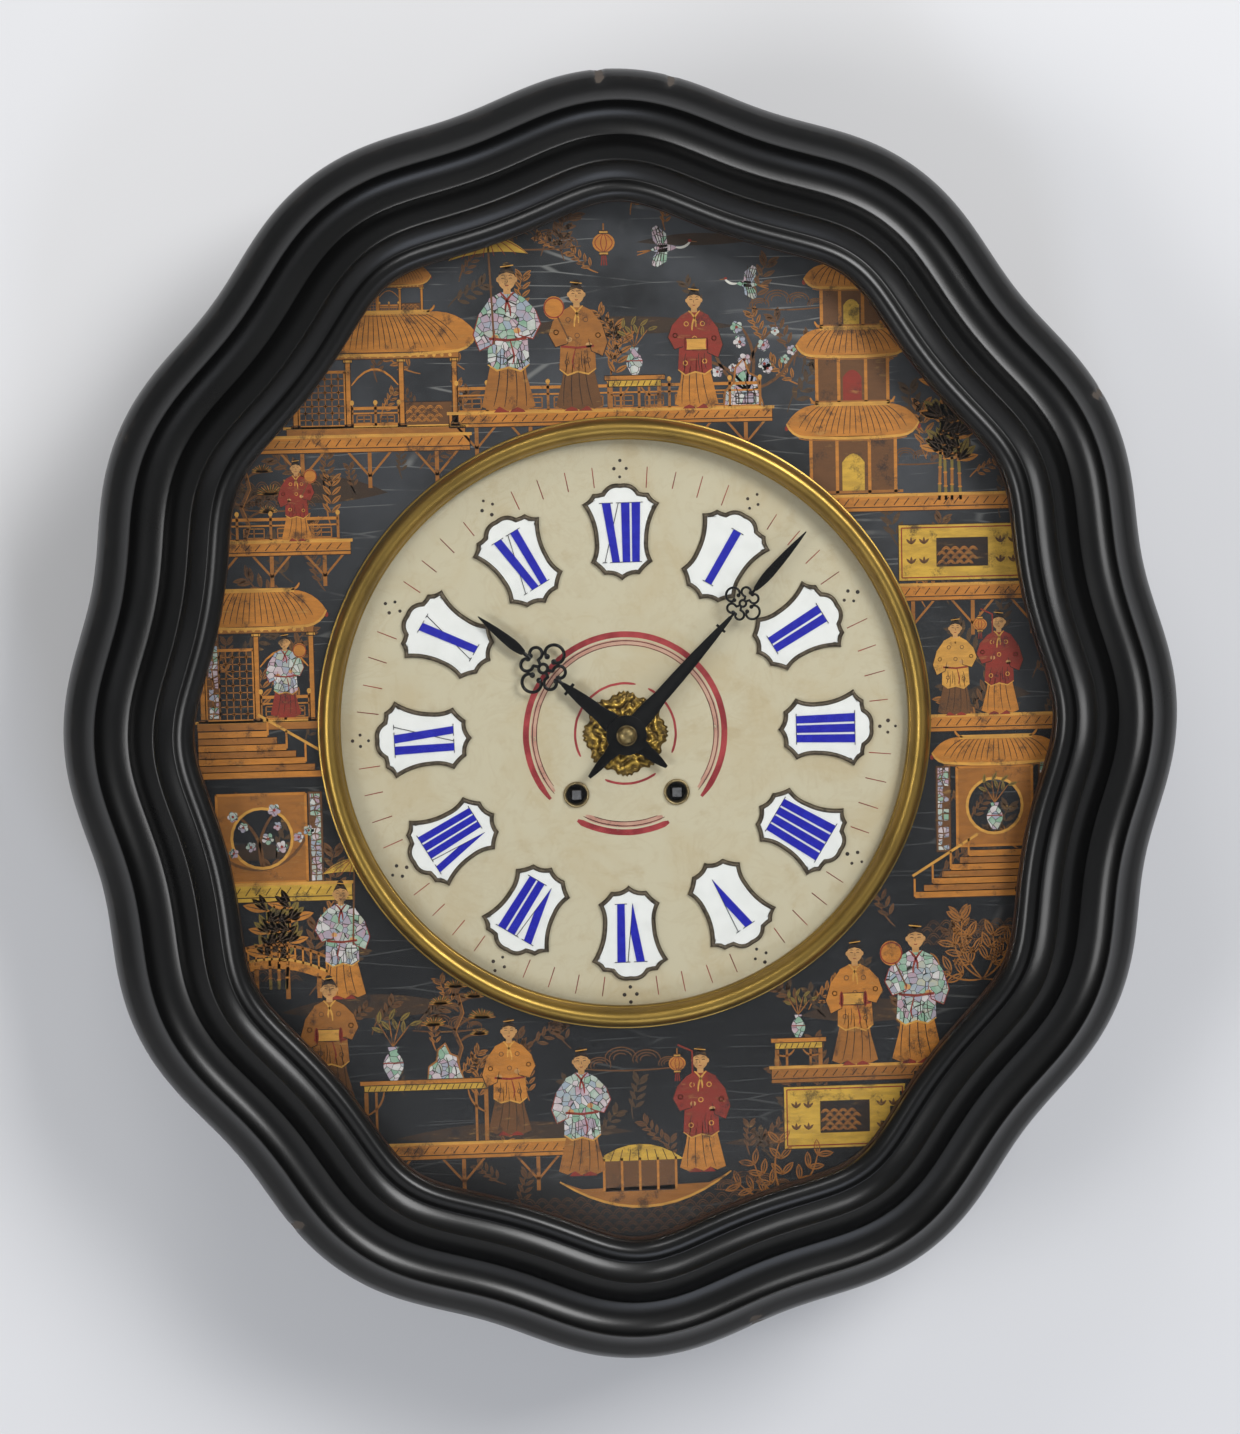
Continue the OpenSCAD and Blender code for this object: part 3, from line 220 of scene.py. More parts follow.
class Recipe:
    """One procedural material while it is being made."""

    def __init__(self, name: str) -> None:
        """Starts an empty material."""
        self.material = bpy.data.materials.new(name)
        self.material.use_nodes = True
        self.tree = self.material.node_tree
        self.tree.nodes.clear()
        self.output = self.tree.nodes.new("ShaderNodeOutputMaterial")

    def node(self, kind: str, settings: dict, inputs: dict) -> bpy.types.Node:
        """Adds a node.

        Args:
            kind: Node type.
            settings: Properties, which are set first.
            inputs: Values or links of its sockets, by name or place.

        Returns:
            The node.
        """
        made = self.tree.nodes.new(kind)
        for key, value in settings.items():
            if key == "stops":
                self._set_stops(made.color_ramp, value)
            else:
                setattr(made, key, value)
        for key, value in inputs.items():
            socket = made.inputs[key]
            if isinstance(value, Wire):
                self.tree.links.new(value.socket, socket)
            elif isinstance(value, Socket):
                self.tree.links.new(value, socket)
            else:
                socket.default_value = value
        return made

    def _set_stops(self, ramp: bpy.types.ColorRamp, stops: Sequence[tuple]) -> None:
        """Gives a ramp its stops, each a place and a colour."""
        while len(ramp.elements) < len(stops):
            ramp.elements.new(1.0)
        for element, (place, colour) in zip(ramp.elements, stops):
            element.position = place
            element.color = colour

    def maths(self, operation: str, a: Value, b: Value) -> Wire:
        """Adds a node that works out one number from two."""
        return Wire(self, self.node("ShaderNodeMath", {"operation": operation}, {0: a, 1: b}).outputs[0])

    def place(self, stretch: Sequence[float] = (1, 1, 1), turn: Sequence[float] = (0, 0, 0)) -> Socket:
        """Gives the place on the object in millimetres, stretched and turned."""
        where = self.node("ShaderNodeTexCoord", {}, {}).outputs["Object"]
        inputs = {"Vector": where, "Scale": [s / MM for s in stretch], "Rotation": turn}
        return self.node("ShaderNodeMapping", {}, inputs).outputs[0]

    def axis(self, index: int) -> Wire:
        """Gives one coordinate of the place on the object, in millimetres."""
        return Wire(self, self.node("ShaderNodeSeparateXYZ", {}, {0: self.place()}).outputs[index])

    def noise(self, size: float, detail: float = 3.0, where: Value = None, rough: float = 0.55,
              warp: float = 0.0) -> Wire:
        """Adds soft noise.

        Args:
            size: Size of its patches in millimetres.
            detail: Number of finer layers.
            where: Coordinates, the place on the object if none are given.
            rough: Strength of the finer layers.
            warp: Distortion.

        Returns:
            The noise from 0 to 1.
        """
        inputs = {"Scale": 1 / size, "Detail": detail, "Roughness": rough, "Distortion": warp}
        inputs["Vector"] = self.place() if where is None else where
        return Wire(self, self.node("ShaderNodeTexNoise", {}, inputs).outputs[0])

    def cells(self, size: float, feature: str = "F1", where: Value = None) -> Wire:
        """Adds a cell pattern and gives the distance in it."""
        inputs = {"Scale": 1 / size, "Vector": self.place() if where is None else where}
        made = self.node("ShaderNodeTexVoronoi", {"feature": feature}, inputs)
        return Wire(self, made.outputs["Distance"])

    def mix(self, factor: Value, low: Value, high: Value) -> Socket:
        """Mixes two colours."""
        return self.node("ShaderNodeMix", {"data_type": "RGBA"}, {0: factor, 6: low, 7: high}).outputs[2]

    def ramp(self, factor: Value, stops: Sequence[tuple]) -> Socket:
        """Turns a number into a colour."""
        return self.node("ShaderNodeValToRGB", {"stops": stops}, {0: factor}).outputs[0]

    def bump(self, height: Value, distance: float, strength: float = 1.0) -> Socket:
        """Turns a height, whose full range is a distance in millimetres, into a normal."""
        inputs = {"Height": height, "Distance": distance * MM, "Strength": strength}
        return self.node("ShaderNodeBump", {}, inputs).outputs[0]

    def attribute(self, name: str, output: str) -> Socket:
        """Reads an attribute of the mesh."""
        settings = {"attribute_name": name, "attribute_type": "GEOMETRY"}
        return self.node("ShaderNodeAttribute", settings, {}).outputs[output]

    def surface(self, **inputs: Value) -> bpy.types.Material:
        """Ends the material with one plain surface shader.

        Args:
            inputs: Its sockets, with underscores for the spaces in their names.

        Returns:
            The material.
        """
        named = {key.replace("_", " "): value for key, value in inputs.items()}
        shader = self.node("ShaderNodeBsdfPrincipled", {}, named)
        self.tree.links.new(shader.outputs[0], self.output.inputs[0])
        return self.material


@dataclass(frozen=True)
class BlackWood:
    """Ebonised wood with a rubbed shine, brown where it is chipped."""

    black: str = "060606"
    worn: str = "1b1816"
    bare: str = "4a423b"

    def make(self) -> bpy.types.Material:
        """Makes the material."""
        r = Recipe("black_wood_finish")
        pores = r.noise(1.4, 4, r.place((1, 1, 0.08)))
        cloud = r.noise(60, 3)
        grit = r.noise(0.5, 2)
        wear = Wire(r, r.attribute("wear", "Fac"))
        rubbed = (wear * (0.45 + grit)).between(0.3, 0.8)
        chipped = (wear + grit * 0.5).between(1.05, 1.25)
        colour = r.mix(rubbed, rgb(self.black), rgb(self.worn))
        colour = r.mix(chipped, colour, rgb(self.bare))
        rough = 0.2 + cloud * 0.13 + grit * 0.08 + chipped * 0.4
        relief = r.bump(pores * 0.6 + grit * 0.6, 0.07, 0.4)
        return r.surface(Base_Color=colour, Roughness=rough, Normal=relief, Specular_IOR_Level=0.36,
                         Coat_Weight=0.05, Coat_Roughness=0.1)


@dataclass(frozen=True)
class GrainedWood:
    """Plain wood with growth rings along one axis."""

    name: str
    pale: str
    dark: str
    along: tuple[float, float, float] = (0.05, 1.0, 1.0)
    rough: float = 0.55

    def make(self) -> bpy.types.Material:
        """Makes the material."""
        r = Recipe(self.name)
        where = r.place(self.along)
        rings = r.noise(9, 2, where, 0.5, 0.6)
        fibre = r.noise(1.1, 4, where)
        stain = r.noise(70, 4)
        grain = r.maths("PINGPONG", rings * 7, 0.5) * 2
        colour = r.mix(grain * 0.55 + fibre * 0.3, rgb(self.pale), rgb(self.dark))
        colour = r.mix(stain.between(0.45, 0.75) * 0.45, colour, rgb("1c140d"))
        relief = r.bump(fibre, 0.12, 0.4)
        return r.surface(Base_Color=colour, Roughness=self.rough + fibre * 0.2, Normal=relief)


@dataclass(frozen=True)
class Lacquer:
    """Black lacquer with a dull grey bloom that is partly real bloom and partly painted reflection, stronger
    towards the top, and fine pale cracks that run across and also show more towards the top.
    """

    black: str = "090a0c"
    # grey of the bloom: partly real bloom, partly a painted reflection
    bloom_and_reflection: str = "505257"
    crack: str = "8d8d8a"

    def make(self) -> bpy.types.Material:
        """Makes the material."""
        r = Recipe("lacquer_finish")
        haze = r.noise(80, 4)
        fine = r.noise(2.4, 4, r.place((0.5, 1, 1)))
        wander = r.noise(34, 3)
        # Painted reflection: this mask makes the grey bloom and the pale cracks stronger towards the top.
        high = r.axis(2).between(-60, 250)
        lines = r.cells(10, "DISTANCE_TO_EDGE", r.place((0.09, 1, 1.0), (0, math.radians(5), 0)))
        crack = (1 - lines.between(0.003, 0.026)) * wander.between(0.44, 0.6)
        # dull grey patches, partly real bloom and partly painted reflection, weighted towards the top
        bloom_and_reflection = haze.between(0.25, 0.75) * (0.1 + high * 0.8) + fine * 0.06
        colour = r.mix(bloom_and_reflection, rgb(self.black), rgb(self.bloom_and_reflection))
        colour = r.mix(crack * (0.15 + high * 0.5), colour, rgb(self.crack))
        relief = r.bump(1 - crack, 0.12, 0.4)
        return r.surface(Base_Color=colour, Roughness=0.26 + fine * 0.16, Normal=relief)


@dataclass(frozen=True)
class Metal:
    """Turned, worn or dulled metal."""

    name: str
    bright: str
    dull: str
    rough: float = 0.3
    patch: float = 18.0
    dulled: float = 0.5
    grit: float = 0.1
    metallic: float = 1.0

    def make(self) -> bpy.types.Material:
        """Makes the material."""
        r = Recipe(self.name)
        tarnish = r.noise(self.patch, 5, None, 0.6)
        scratch = r.noise(0.7, 3)
        pits = 1 - r.cells(2.6).between(0.05, 0.25)
        spots = pits * tarnish.between(0.5, 0.7)
        dull = tarnish.between(0.35, 0.75) * self.dulled + spots * 0.5 * self.dulled
        colour = r.mix(dull, rgb(self.bright), rgb(self.dull))
        rough = self.rough + tarnish * 0.14 + scratch * self.grit
        relief = r.bump(scratch - spots * 0.8, 0.03, 0.35)
        return r.surface(Base_Color=colour, Metallic=self.metallic, Roughness=rough, Normal=relief)


@dataclass(frozen=True)
class Alabaster:
    """Cream stone with tan clouds, veins, old stains and dark specks."""

    cream: str = "c9bfa3"
    tan: str = "c1b08c"
    vein: str = "b09a72"

    def make(self) -> bpy.types.Material:
        """Makes the material."""
        r = Recipe("alabaster_finish")
        cloud = r.noise(42, 5, None, 0.6, 0.8)
        spot = r.noise(13, 4, None, 0.6)
        vein = r.noise(30, 6, None, 0.65, 1.6)
        speck = r.noise(1.2, 3)
        line = 1 - (vein - 0.5) * (vein - 0.5) * 900
        colour = r.mix(cloud.between(0.42, 0.72) * 0.7, rgb(self.cream), rgb(self.tan))
        colour = r.mix(spot.between(0.55, 0.75) * 0.35, colour, rgb(self.vein))
        colour = r.mix(line.between(0.2, 1.0) * 0.14, colour, rgb(self.vein))
        colour = r.mix(speck.between(0.66, 0.78) * 0.25, colour, rgb("9a7f58"))
        relief = r.bump(speck + spot * 0.5, 0.05, 0.25)
        return r.surface(Base_Color=colour, Roughness=0.36 + spot * 0.2, Normal=relief)


@dataclass(frozen=True)
class Glaze:
    """Glassy enamel or enamel paint, a little uneven."""

    name: str
    colour: str
    shade: str
    rough: float = 0.07
    ripple: float = 9.0
    coat: float = 0.5
    shine: float = 0.5

    def make(self) -> bpy.types.Material:
        """Makes the material."""
        r = Recipe(self.name)
        wave = r.noise(self.ripple, 2)
        speck = r.noise(0.9, 3)
        mask = wave.between(0.35, 0.75) * 0.5 + speck.between(0.68, 0.8) * 0.5
        relief = r.bump(wave, 0.25, 0.35)
        colour = r.mix(mask, rgb(self.colour), rgb(self.shade))
        return r.surface(Base_Color=colour, Roughness=self.rough + speck * 0.05, Normal=relief,
                         Coat_Weight=self.coat, Specular_IOR_Level=self.shine)


@dataclass(frozen=True)
class WornPaint:
    """Thin paint that has partly rubbed off, so that the stone shows through."""

    name: str
    colour: str
    faded: str
    worn: float = 0.46
    grain: float = 2.2

    def make(self) -> bpy.types.Material:
        """Makes the material."""
        r = Recipe(self.name)
        patch = r.noise(11, 3)
        fleck = r.noise(self.grain, 5, None, 0.7)
        left = (fleck * 0.6 + patch * 0.6).between(self.worn, self.worn + 0.1)
        colour = r.mix(patch.between(0.35, 0.65), rgb(self.colour), rgb(self.faded))
        return r.surface(Base_Color=colour, Roughness=0.55, Alpha=left)


@dataclass(frozen=True)
class Painted:
    """Gold and brown brush paint, whose tone each shape brings with it."""

    name: str = "panel_paint_finish"

    def make(self) -> bpy.types.Material:
        """Makes the material."""
        r = Recipe(self.name)
        tint = r.attribute("tint", "Color")
        brush = r.noise(2.2, 4, r.place((0.25, 1, 1)))
        worn = r.noise(9, 5, None, 0.65)
        crumb = r.noise(0.8, 3)
        colour = r.mix(brush.between(0.3, 0.75) * 0.34, tint, rgb("4a2e16"))
        colour = r.mix(brush.between(0.6, 0.8) * 0.3, colour, rgb("e0b060"))
        gone = (worn + crumb * 0.25).between(0.66, 0.84)
        colour = r.mix(gone * 0.75, colour, rgb("17161a"))
        relief = r.bump(brush + crumb * 0.5, 0.05, 0.4)
        return r.surface(Base_Color=colour, Roughness=0.42, Metallic=0.12, Normal=relief)


@dataclass(frozen=True)
class Pearl:
    """Mother-of-pearl chips with green, rose and grey lights."""

    name: str = "pearl_finish"

    def make(self) -> bpy.types.Material:
        """Makes the material."""
        r = Recipe(self.name)
        chip = r.node("ShaderNodeTexVoronoi", {"feature": "F1"}, {"Scale": 0.3, "Vector": r.place((1, 0, 1))})
        pick = Wire(r, r.node("ShaderNodeSeparateColor", {}, {0: chip.outputs["Color"]}).outputs[0])
        lustre = r.noise(4, 3)
        edge = r.cells(1 / 0.3, "DISTANCE_TO_EDGE", r.place((1, 0, 1)))
        stops = [(0.0, rgb("cfd8c9")), (0.22, rgb("8fb79a")), (0.42, rgb("e9e4e0")), (0.6, rgb("c7a3ae"))]
        stops += [(0.78, rgb("a9b7c4")), (1.0, rgb("d9cfa0"))]
        colour = r.ramp(pick * 0.75 + lustre * 0.3, stops)
        colour = r.mix(1 - edge.between(0.01, 0.055), colour, rgb("33332a"))
        return r.surface(Base_Color=colour, Roughness=0.25, Metallic=0.25, Coat_Weight=0.5)


@dataclass(frozen=True)
class Gilt:
    """Pressed and gilded sheet, dark in its hollows."""

    name: str = "gilt_finish"
    gold: str = "be9b45"
    shade: str = "3c2b12"

    def make(self) -> bpy.types.Material:
        """Makes the material."""
        r = Recipe(self.name)
        depth = Wire(r, r.attribute("relief", "Fac"))
        rub = r.noise(3, 4)
        hollow = (1 - depth).between(0.35, 0.8)
        colour = r.mix(hollow * 0.85 + rub.between(0.55, 0.8) * 0.25, rgb(self.gold), rgb(self.shade))
        relief = r.bump(r.noise(0.6, 3), 0.06, 0.5)
        return r.surface(Base_Color=colour, Metallic=0.8, Roughness=0.28 + rub * 0.15, Normal=relief)


@dataclass(frozen=True)
class ClearGlass:
    """Flat glass that lets light through and reflects more at a slant."""

    name: str = "clear_glass_finish"

    def make(self) -> bpy.types.Material:
        """Makes the material."""
        r = Recipe(self.name)
        clear = r.node("ShaderNodeBsdfTransparent", {}, {"Color": (0.99, 0.995, 0.992, 1)})
        mirror = {"Base Color": (1, 1, 1, 1), "Metallic": 1.0, "Roughness": 0.03}
        gloss = r.node("ShaderNodeBsdfPrincipled", {}, mirror)
        slant = Wire(r, r.node("ShaderNodeFresnel", {}, {"IOR": 1.45}).outputs[0])
        mixed = r.node("ShaderNodeMixShader", {}, {0: slant * 0.5, 1: clear.outputs[0], 2: gloss.outputs[0]})
        r.tree.links.new(mixed.outputs[0], r.output.inputs[0])
        return r.material


class Finish(Enum):
    """The finishes of the clock. Each is made once, when it is first used."""

    BLACK_WOOD = BlackWood()
    BOX_WOOD = GrainedWood("box_wood_finish", "4a2f1f", "24160e", (1.0, 1.0, 0.06))
    BACK_WOOD = GrainedWood("back_wood_finish", "8a6a47", "5c4128", (1.0, 1.0, 0.05), 0.6)
    LACQUER = Lacquer()
    BEZEL_BRASS = Metal("bezel_brass_finish", "a2833f", "5e4c1e", 0.25, 30, 0.5, 0.08, 0.88)
    TRAIN_BRASS = Metal("train_brass_finish", "d0ad62", "8a6c33", 0.24, 20, 0.35)
    BELL_METAL = Metal("bell_metal_finish", "bfa57c", "7d6545", 0.24, 30, 0.4)
    NUT_BRASS = Metal("nut_brass_finish", "8f7d55", "2e2618", 0.3, 2.5, 0.9)
    STEEL = Metal("steel_finish", "a9a9aa", "5f5c58", 0.3, 12, 0.5)
    DARK_STEEL = Metal("square_steel_finish", "7a7a7c", "3c3a38", 0.35, 3, 0.6)
    BRONZE = Metal("bronze_finish", "64594a", "29231b", 0.36, 2.2, 0.9, 0.1, 0.7)
    GROMMET = Metal("grommet_finish", "9c8a64", "4a3d28", 0.28, 4, 0.7, 0.1, 0.8)
    HAND_BLACK = Glaze("hand_black_finish", "030304", "0a0a0c", 0.26, 4, 0.03, 0.22)
    ALABASTER = Alabaster()
    ENAMEL = Glaze("enamel_finish", "f4f4f1", "e6e6e2", 0.06, 9)
    NUMERAL_BLUE = Glaze("numeral_blue_finish", "1f1fa6", "2c34c0", 0.12, 4)
    NUMERAL_BLACK = Glaze("numeral_black_finish", "1a1a24", "2a2a34", 0.2, 3)
    RING_RED = WornPaint("ring_red_finish", "84161f", "a8383a", 0.34)
    RING_PALE = WornPaint("ring_pale_finish", "b98674", "c7a18b", 0.42)
    RING_BROWN = WornPaint("ring_brown_finish", "42170f", "6e2c20", 0.34, 1.0)
    TICK_RED = WornPaint("tick_red_finish", "6a1d18", "963c2e", 0.3, 1.4)
    DOT_BLACK = WornPaint("dot_black_finish", "1b1512", "3b2a20", 0.36, 1.0)
    PAINT = Painted()
    PEARL = Pearl()
    GILT = Gilt()
    GLASS = ClearGlass()

    def material(self) -> bpy.types.Material:
        """Gives the finish's material."""
        if self.name not in _MADE:
            _MADE[self.name] = self.value.make()
        return _MADE[self.name]


_MADE: dict[str, bpy.types.Material] = {}


@dataclass
class Workshop:
    """Finishes pieces and puts them on their bodies."""

    frame: dict

    def piece(self, bm: Mesh, name: str, finish: Finish, body: str, slot: str,
              replaces: Sequence[str] = (), sharp: float = 35.0) -> None:
        """Turns a mesh in millimetres into a piece of the clock.

        Args:
            bm: The mesh, which is freed.
            name: Name of the piece.
            finish: Its finish.
            body: Body that it rides on.
            slot: Not used.
            replaces: Solids that it stands for.
            sharp: Angle above which an edge stays sharp, in degrees.
        """
        bmesh.ops.scale(bm, vec=(MM, MM, MM), verts=bm.verts)
        mesh = bpy.data.meshes.new(name)
        bm.to_mesh(mesh)
        bm.free()
        mesh.shade_smooth()
        mesh.set_sharp_from_angle(angle=math.radians(sharp))
        mesh.materials.append(finish.material())
        made = bpy.data.objects.new(name, mesh)
        bpy.context.scene.collection.objects.link(made)
        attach(made, body)
        if replaces:
            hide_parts(*replaces)
        LOG.info("%s: %d faces on %s", name, len(mesh.polygons), body)

    def dress(self, finish: Finish, *nodes: str) -> None:
        """Gives carried-over nodes a finish."""
        for node in nodes:
            made = self.frame["nodes"][node]
            for slot in made.material_slots:
                slot.material = finish.material()
            LOG.info("%s: %s", node, finish.name)

    def softened(self, node: str, width: float, segments: int = 2) -> Mesh:
        """Copies a node and rounds its edges.

        Args:
            node: Node to copy.
            width: Width of the rounding.
            segments: Number of steps in it.

        Returns:
            The copy's mesh, in millimetres.
        """
        bm = bmesh.new()
        bm.from_mesh(self.frame["nodes"][node].data)
        bmesh.ops.scale(bm, vec=(1 / MM, 1 / MM, 1 / MM), verts=bm.verts)
        bmesh.ops.remove_doubles(bm, verts=bm.verts, dist=0.004)
        flat = math.radians(1.0)
        bmesh.ops.dissolve_limit(bm, angle_limit=flat, verts=bm.verts, edges=bm.edges)
        limit = math.radians(50)
        edges = [e for e in bm.edges if len(e.link_faces) == 2 and e.calc_face_angle(0) > limit]
        bmesh.ops.bevel(bm, geom=edges, offset=width, offset_type="OFFSET", segments=segments, profile=0.5,
                        affect="EDGES", clamp_overlap=True, material=-1)
        return bm


def spun(profile: Sequence[Point], centre: Point, steps: int, closed: bool = False) -> Mesh:
    """Turns a profile about an axis that runs front to back.

    Args:
        profile: Distance from the axis and place along it, for each point.
        centre: Where the axis stands.
        steps: Number of steps in the turn.
        closed: Whether the last point joins the first.

    Returns:
        The turned mesh.
    """
    bm = bmesh.new()
    verts = [bm.verts.new((r, y, 0.0)) for r, y in profile]
    edges = [bm.edges.new(pair) for pair in zip(verts, verts[1:])]
    if closed:
        edges.append(bm.edges.new((verts[-1], verts[0])))
    bmesh.ops.spin(bm, geom=verts + edges, cent=(0, 0, 0), axis=(0, 1, 0), angle=math.tau, steps=steps,
                   use_merge=True, use_duplicate=False)
    bmesh.ops.remove_doubles(bm, verts=bm.verts, dist=0.001)
    bmesh.ops.recalc_face_normals(bm, faces=bm.faces)
    bmesh.ops.translate(bm, vec=(centre[0], 0, centre[1]), verts=bm.verts)
    return bm


def plate(bm: Mesh, outline: Sequence[Point], back: float, front: float) -> Face:
    """Adds a flat plate that faces the front.

    Args:
        bm: Mesh to add it to.
        outline: Its outline.
        back: Plane of its back.
        front: Plane of its face.

    Returns:
        The face at the front.
    """
    face = bm.faces.new([bm.verts.new((x, back, z)) for x, z in outline])
    face.normal_update()
    if face.normal.y < 0:
        face.normal_flip()
    made = bmesh.ops.extrude_face_region(bm, geom=[face], use_keep_orig=True)["geom"]
    top = picked(made, Face)[0]
    bmesh.ops.translate(bm, vec=(0, front - back, 0), verts=top.verts[:])
    bmesh.ops.reverse_faces(bm, faces=[top])
    top.normal_update()
    if top.normal.y > 0:
        top.normal_flip()
    return top


@dataclass
class WavedEdge:
    """The frame's outer line, an ellipse with twelve waves, and the rings inside it."""

    half_width: float = 273.6
    half_height: float = 318.2
    waves: int = 12
    height: float = 4.5
    blunt: float = 0.24
    drift: float = 2.75

    def at(self, t: float) -> Vector:
        """Gives the point of the edge at an angle in degrees."""
        a, b = self.half_width, self.half_height
        u = math.radians(t + self.drift * math.sin(math.radians(2 * t)))
        wave = self.height * math.cos(self.waves * u) - self.blunt * math.cos(2 * self.waves * u)
        c, s = heading(t)
        out = Vector((b * c, a * s)).normalized()
        return Vector((a * c, b * s)) + wave * out

    def ring(self, inward: float, t: float) -> Vector:
        """Gives the point that lies inward of the edge at an angle in degrees."""
        d = self.at(t + 0.05) - self.at(t - 0.05)
        return self.at(t) - inward * Vector((d.y, -d.x)).normalized()


@dataclass
class Door:
    """The waved frame, which opens on its hinges, with its glass."""

    shop: Workshop
    edge: WavedEdge
    back: float = -107.5
    stations: int = 480
    ridges: tuple[Point, ...] = ((5, 1.5), (46, 2.0), (17, 1.8), (65, 1.2))
    chips: tuple[tuple[float, float, float], ...] = ((91.5, 0.9, 1.0), (84.0, 0.5, 0.8), (283.0, 1.2, 0.9),
                                                     (152.0, 0.6, 0.7), (30.0, 0.5, 0.7), (231.0, 0.7, 0.8))

    def profile(self) -> list[Point]:
        """Gives the moulding's cross-section: distance inward and height over its back."""
        points = [(2.0, 0.0)] + arch((0, 4), (5, 15), 1.1, 10)
        points += bow((9, 18), (17, 27), -0.6, 6) + bow((17, 27), (33, 21), -3.2, 14)
        points += bow((33, 21), (46, 34), 0.6, 12) + bow((46, 34), (55, 26.5), -1.2, 9)
        points += arch((55, 26.5), (65, 25), 3.2, 12)
        points += [(65.0, 21.0), (60.5, 21.0), (60.5, 5.5), (57.0, 5.5), (57.0, 0.0)]
        return self.rounded(points, 0.45)

    def rounded(self, points: Sequence[Point], reach: float) -> list[Point]:
        """Takes the sharp corners off a closed line.

        Args:
            points: Corners of the line.
            reach: How far from each corner the rounding starts.

        Returns:
            The line with three points at each sharp corner.
        """
        made = []
        for i, here in enumerate(points):
            before, after = Vector(points[i - 1]), Vector(points[(i + 1) % len(points)])
            p = Vector(here)
            u, v = before - p, after - p
            if u.angle(v) > math.radians(155):
                made.append(here)
                continue
            a = p + u.normalized() * min(reach, u.length * 0.4)
            b = p + v.normalized() * min(reach, v.length * 0.4)
            made += [tuple(a), tuple((a + b) / 4 + p / 2), tuple(b)]
        return made

    def wear(self, t: float, inward: float, height: float) -> float:
        """Says how rubbed the wood is at a place on the moulding, from 0 to about 2.1."""
        at = Vector((t * 0.35, inward * 0.2, height * 0.2))
        rub = 0.5 + 0.5 * noise.fractal(at, 0.6, 2.0, 4)
        arris = sum(max(0.0, 1 - abs(inward - crest) / reach) for crest, reach in self.ridges)
        arris += 1.1 * max(0.0, 1 - abs(height - 11) / 6) * (inward < 8)
        chip = 0.0
        if height < 19 and inward < 8:
            for angle, width, depth in self.chips:
                ragged = width * (0.8 + 0.6 * noise.noise(Vector((inward * 0.9, height * 0.7, angle))))
                chip = max(chip, depth * (1 - abs(t - angle) / max(ragged, 0.1)))
        return min(0.75, rub * arris * 0.75) + max(0.0, chip) * 1.4

    def build_frame(self) -> None:
        """Sweeps the cross-section round the waved edge."""
        bm = bmesh.new()
        layer = bm.verts.layers.float.new("wear")
        verts = bmesh.ops.create_circle(bm, segments=self.stations, radius=1.0)["verts"]
        first = list(bm.edges)
        edges = first
        angles = [360.0 * i / self.stations for i in range(self.stations)]
        section = self.profile()
        for step, (inward, height) in enumerate(section):
            if step:
                places = {tuple(v.co): i for i, v in enumerate(verts)}
                made = bmesh.ops.extrude_edge_only(bm, edges=edges)["geom"]
                edges = picked(made, Edge)
                fresh = picked(made, Vert)
                verts = sorted(fresh, key=lambda v: places[tuple(v.co)])
            for t, v in zip(angles, verts):
                p = self.edge.ring(inward, t)
                hand = 0.12 * noise.noise(Vector((p.x, p.y, height)) * 0.02)
                worn = self.wear(t, inward, height)
                dent = max(0.0, worn - 0.8) * 1.6
                shrink = 1 - dent * 0.002
                v.co = (p.x * shrink, self.back - height - hand + dent * 0.5, p.y * shrink)
                v[layer] = worn
        bmesh.ops.bridge_loops(bm, edges=edges + first)
        bmesh.ops.recalc_face_normals(bm, faces=bm.faces)
        self.shop.piece(bm, "waved_frame", Finish.BLACK_WOOD, "door", "black_wood", ["front_frame"], 40)

    def build(self) -> None:
        """Builds the door."""
        self.build_frame()
        self.shop.dress(Finish.GLASS, "glass")
        self.shop.dress(Finish.BOX_WOOD, "glass_bead")
        self.shop.dress(Finish.TRAIN_BRASS, "door_hinge_leaves", "latch_button")
        self.shop.dress(Finish.STEEL, "latch_post")


@dataclass
class Bezel:
    """The half-round brass ring between the panel and the dial."""

    shop: Workshop
    outer: float = 153.0
    inner: float = 141.5
    back: float = -111.35
    crest: float = -121.0
    lip: float = 0.9
    steps: int = 256

    def build(self) -> None:
        """Turns the ring."""
        mid = (self.outer + self.inner) / 2
        half = (self.outer - self.inner) / 2 - self.lip
        spring = self.back - 2.6
        depth = spring - self.crest
        profile = [(self.inner, self.back), (self.inner, spring + 0.5), (self.inner + 0.25, spring + 0.1)]
        profile += [(self.inner + self.lip * 0.8, spring + 0.1)]
        for i in range(25):
            a = math.pi * (1 - i / 24)
            profile.append((mid + half * math.cos(a), spring - depth * math.sin(a)))
        profile += [(self.outer - self.lip * 0.8, spring + 0.1), (self.outer - 0.2, spring + 0.2)]
        profile += [(self.outer, spring + 0.6), (self.outer, self.back)]
        bm = spun(profile, (0, 0), self.steps, closed=True)
        for v in bm.verts:
            v.co.y += 0.08 * noise.noise(v.co * 0.03)
        self.shop.piece(bm, "brass_bezel", Finish.BEZEL_BRASS, "case", "aged_brass", ["bezel"], 30)


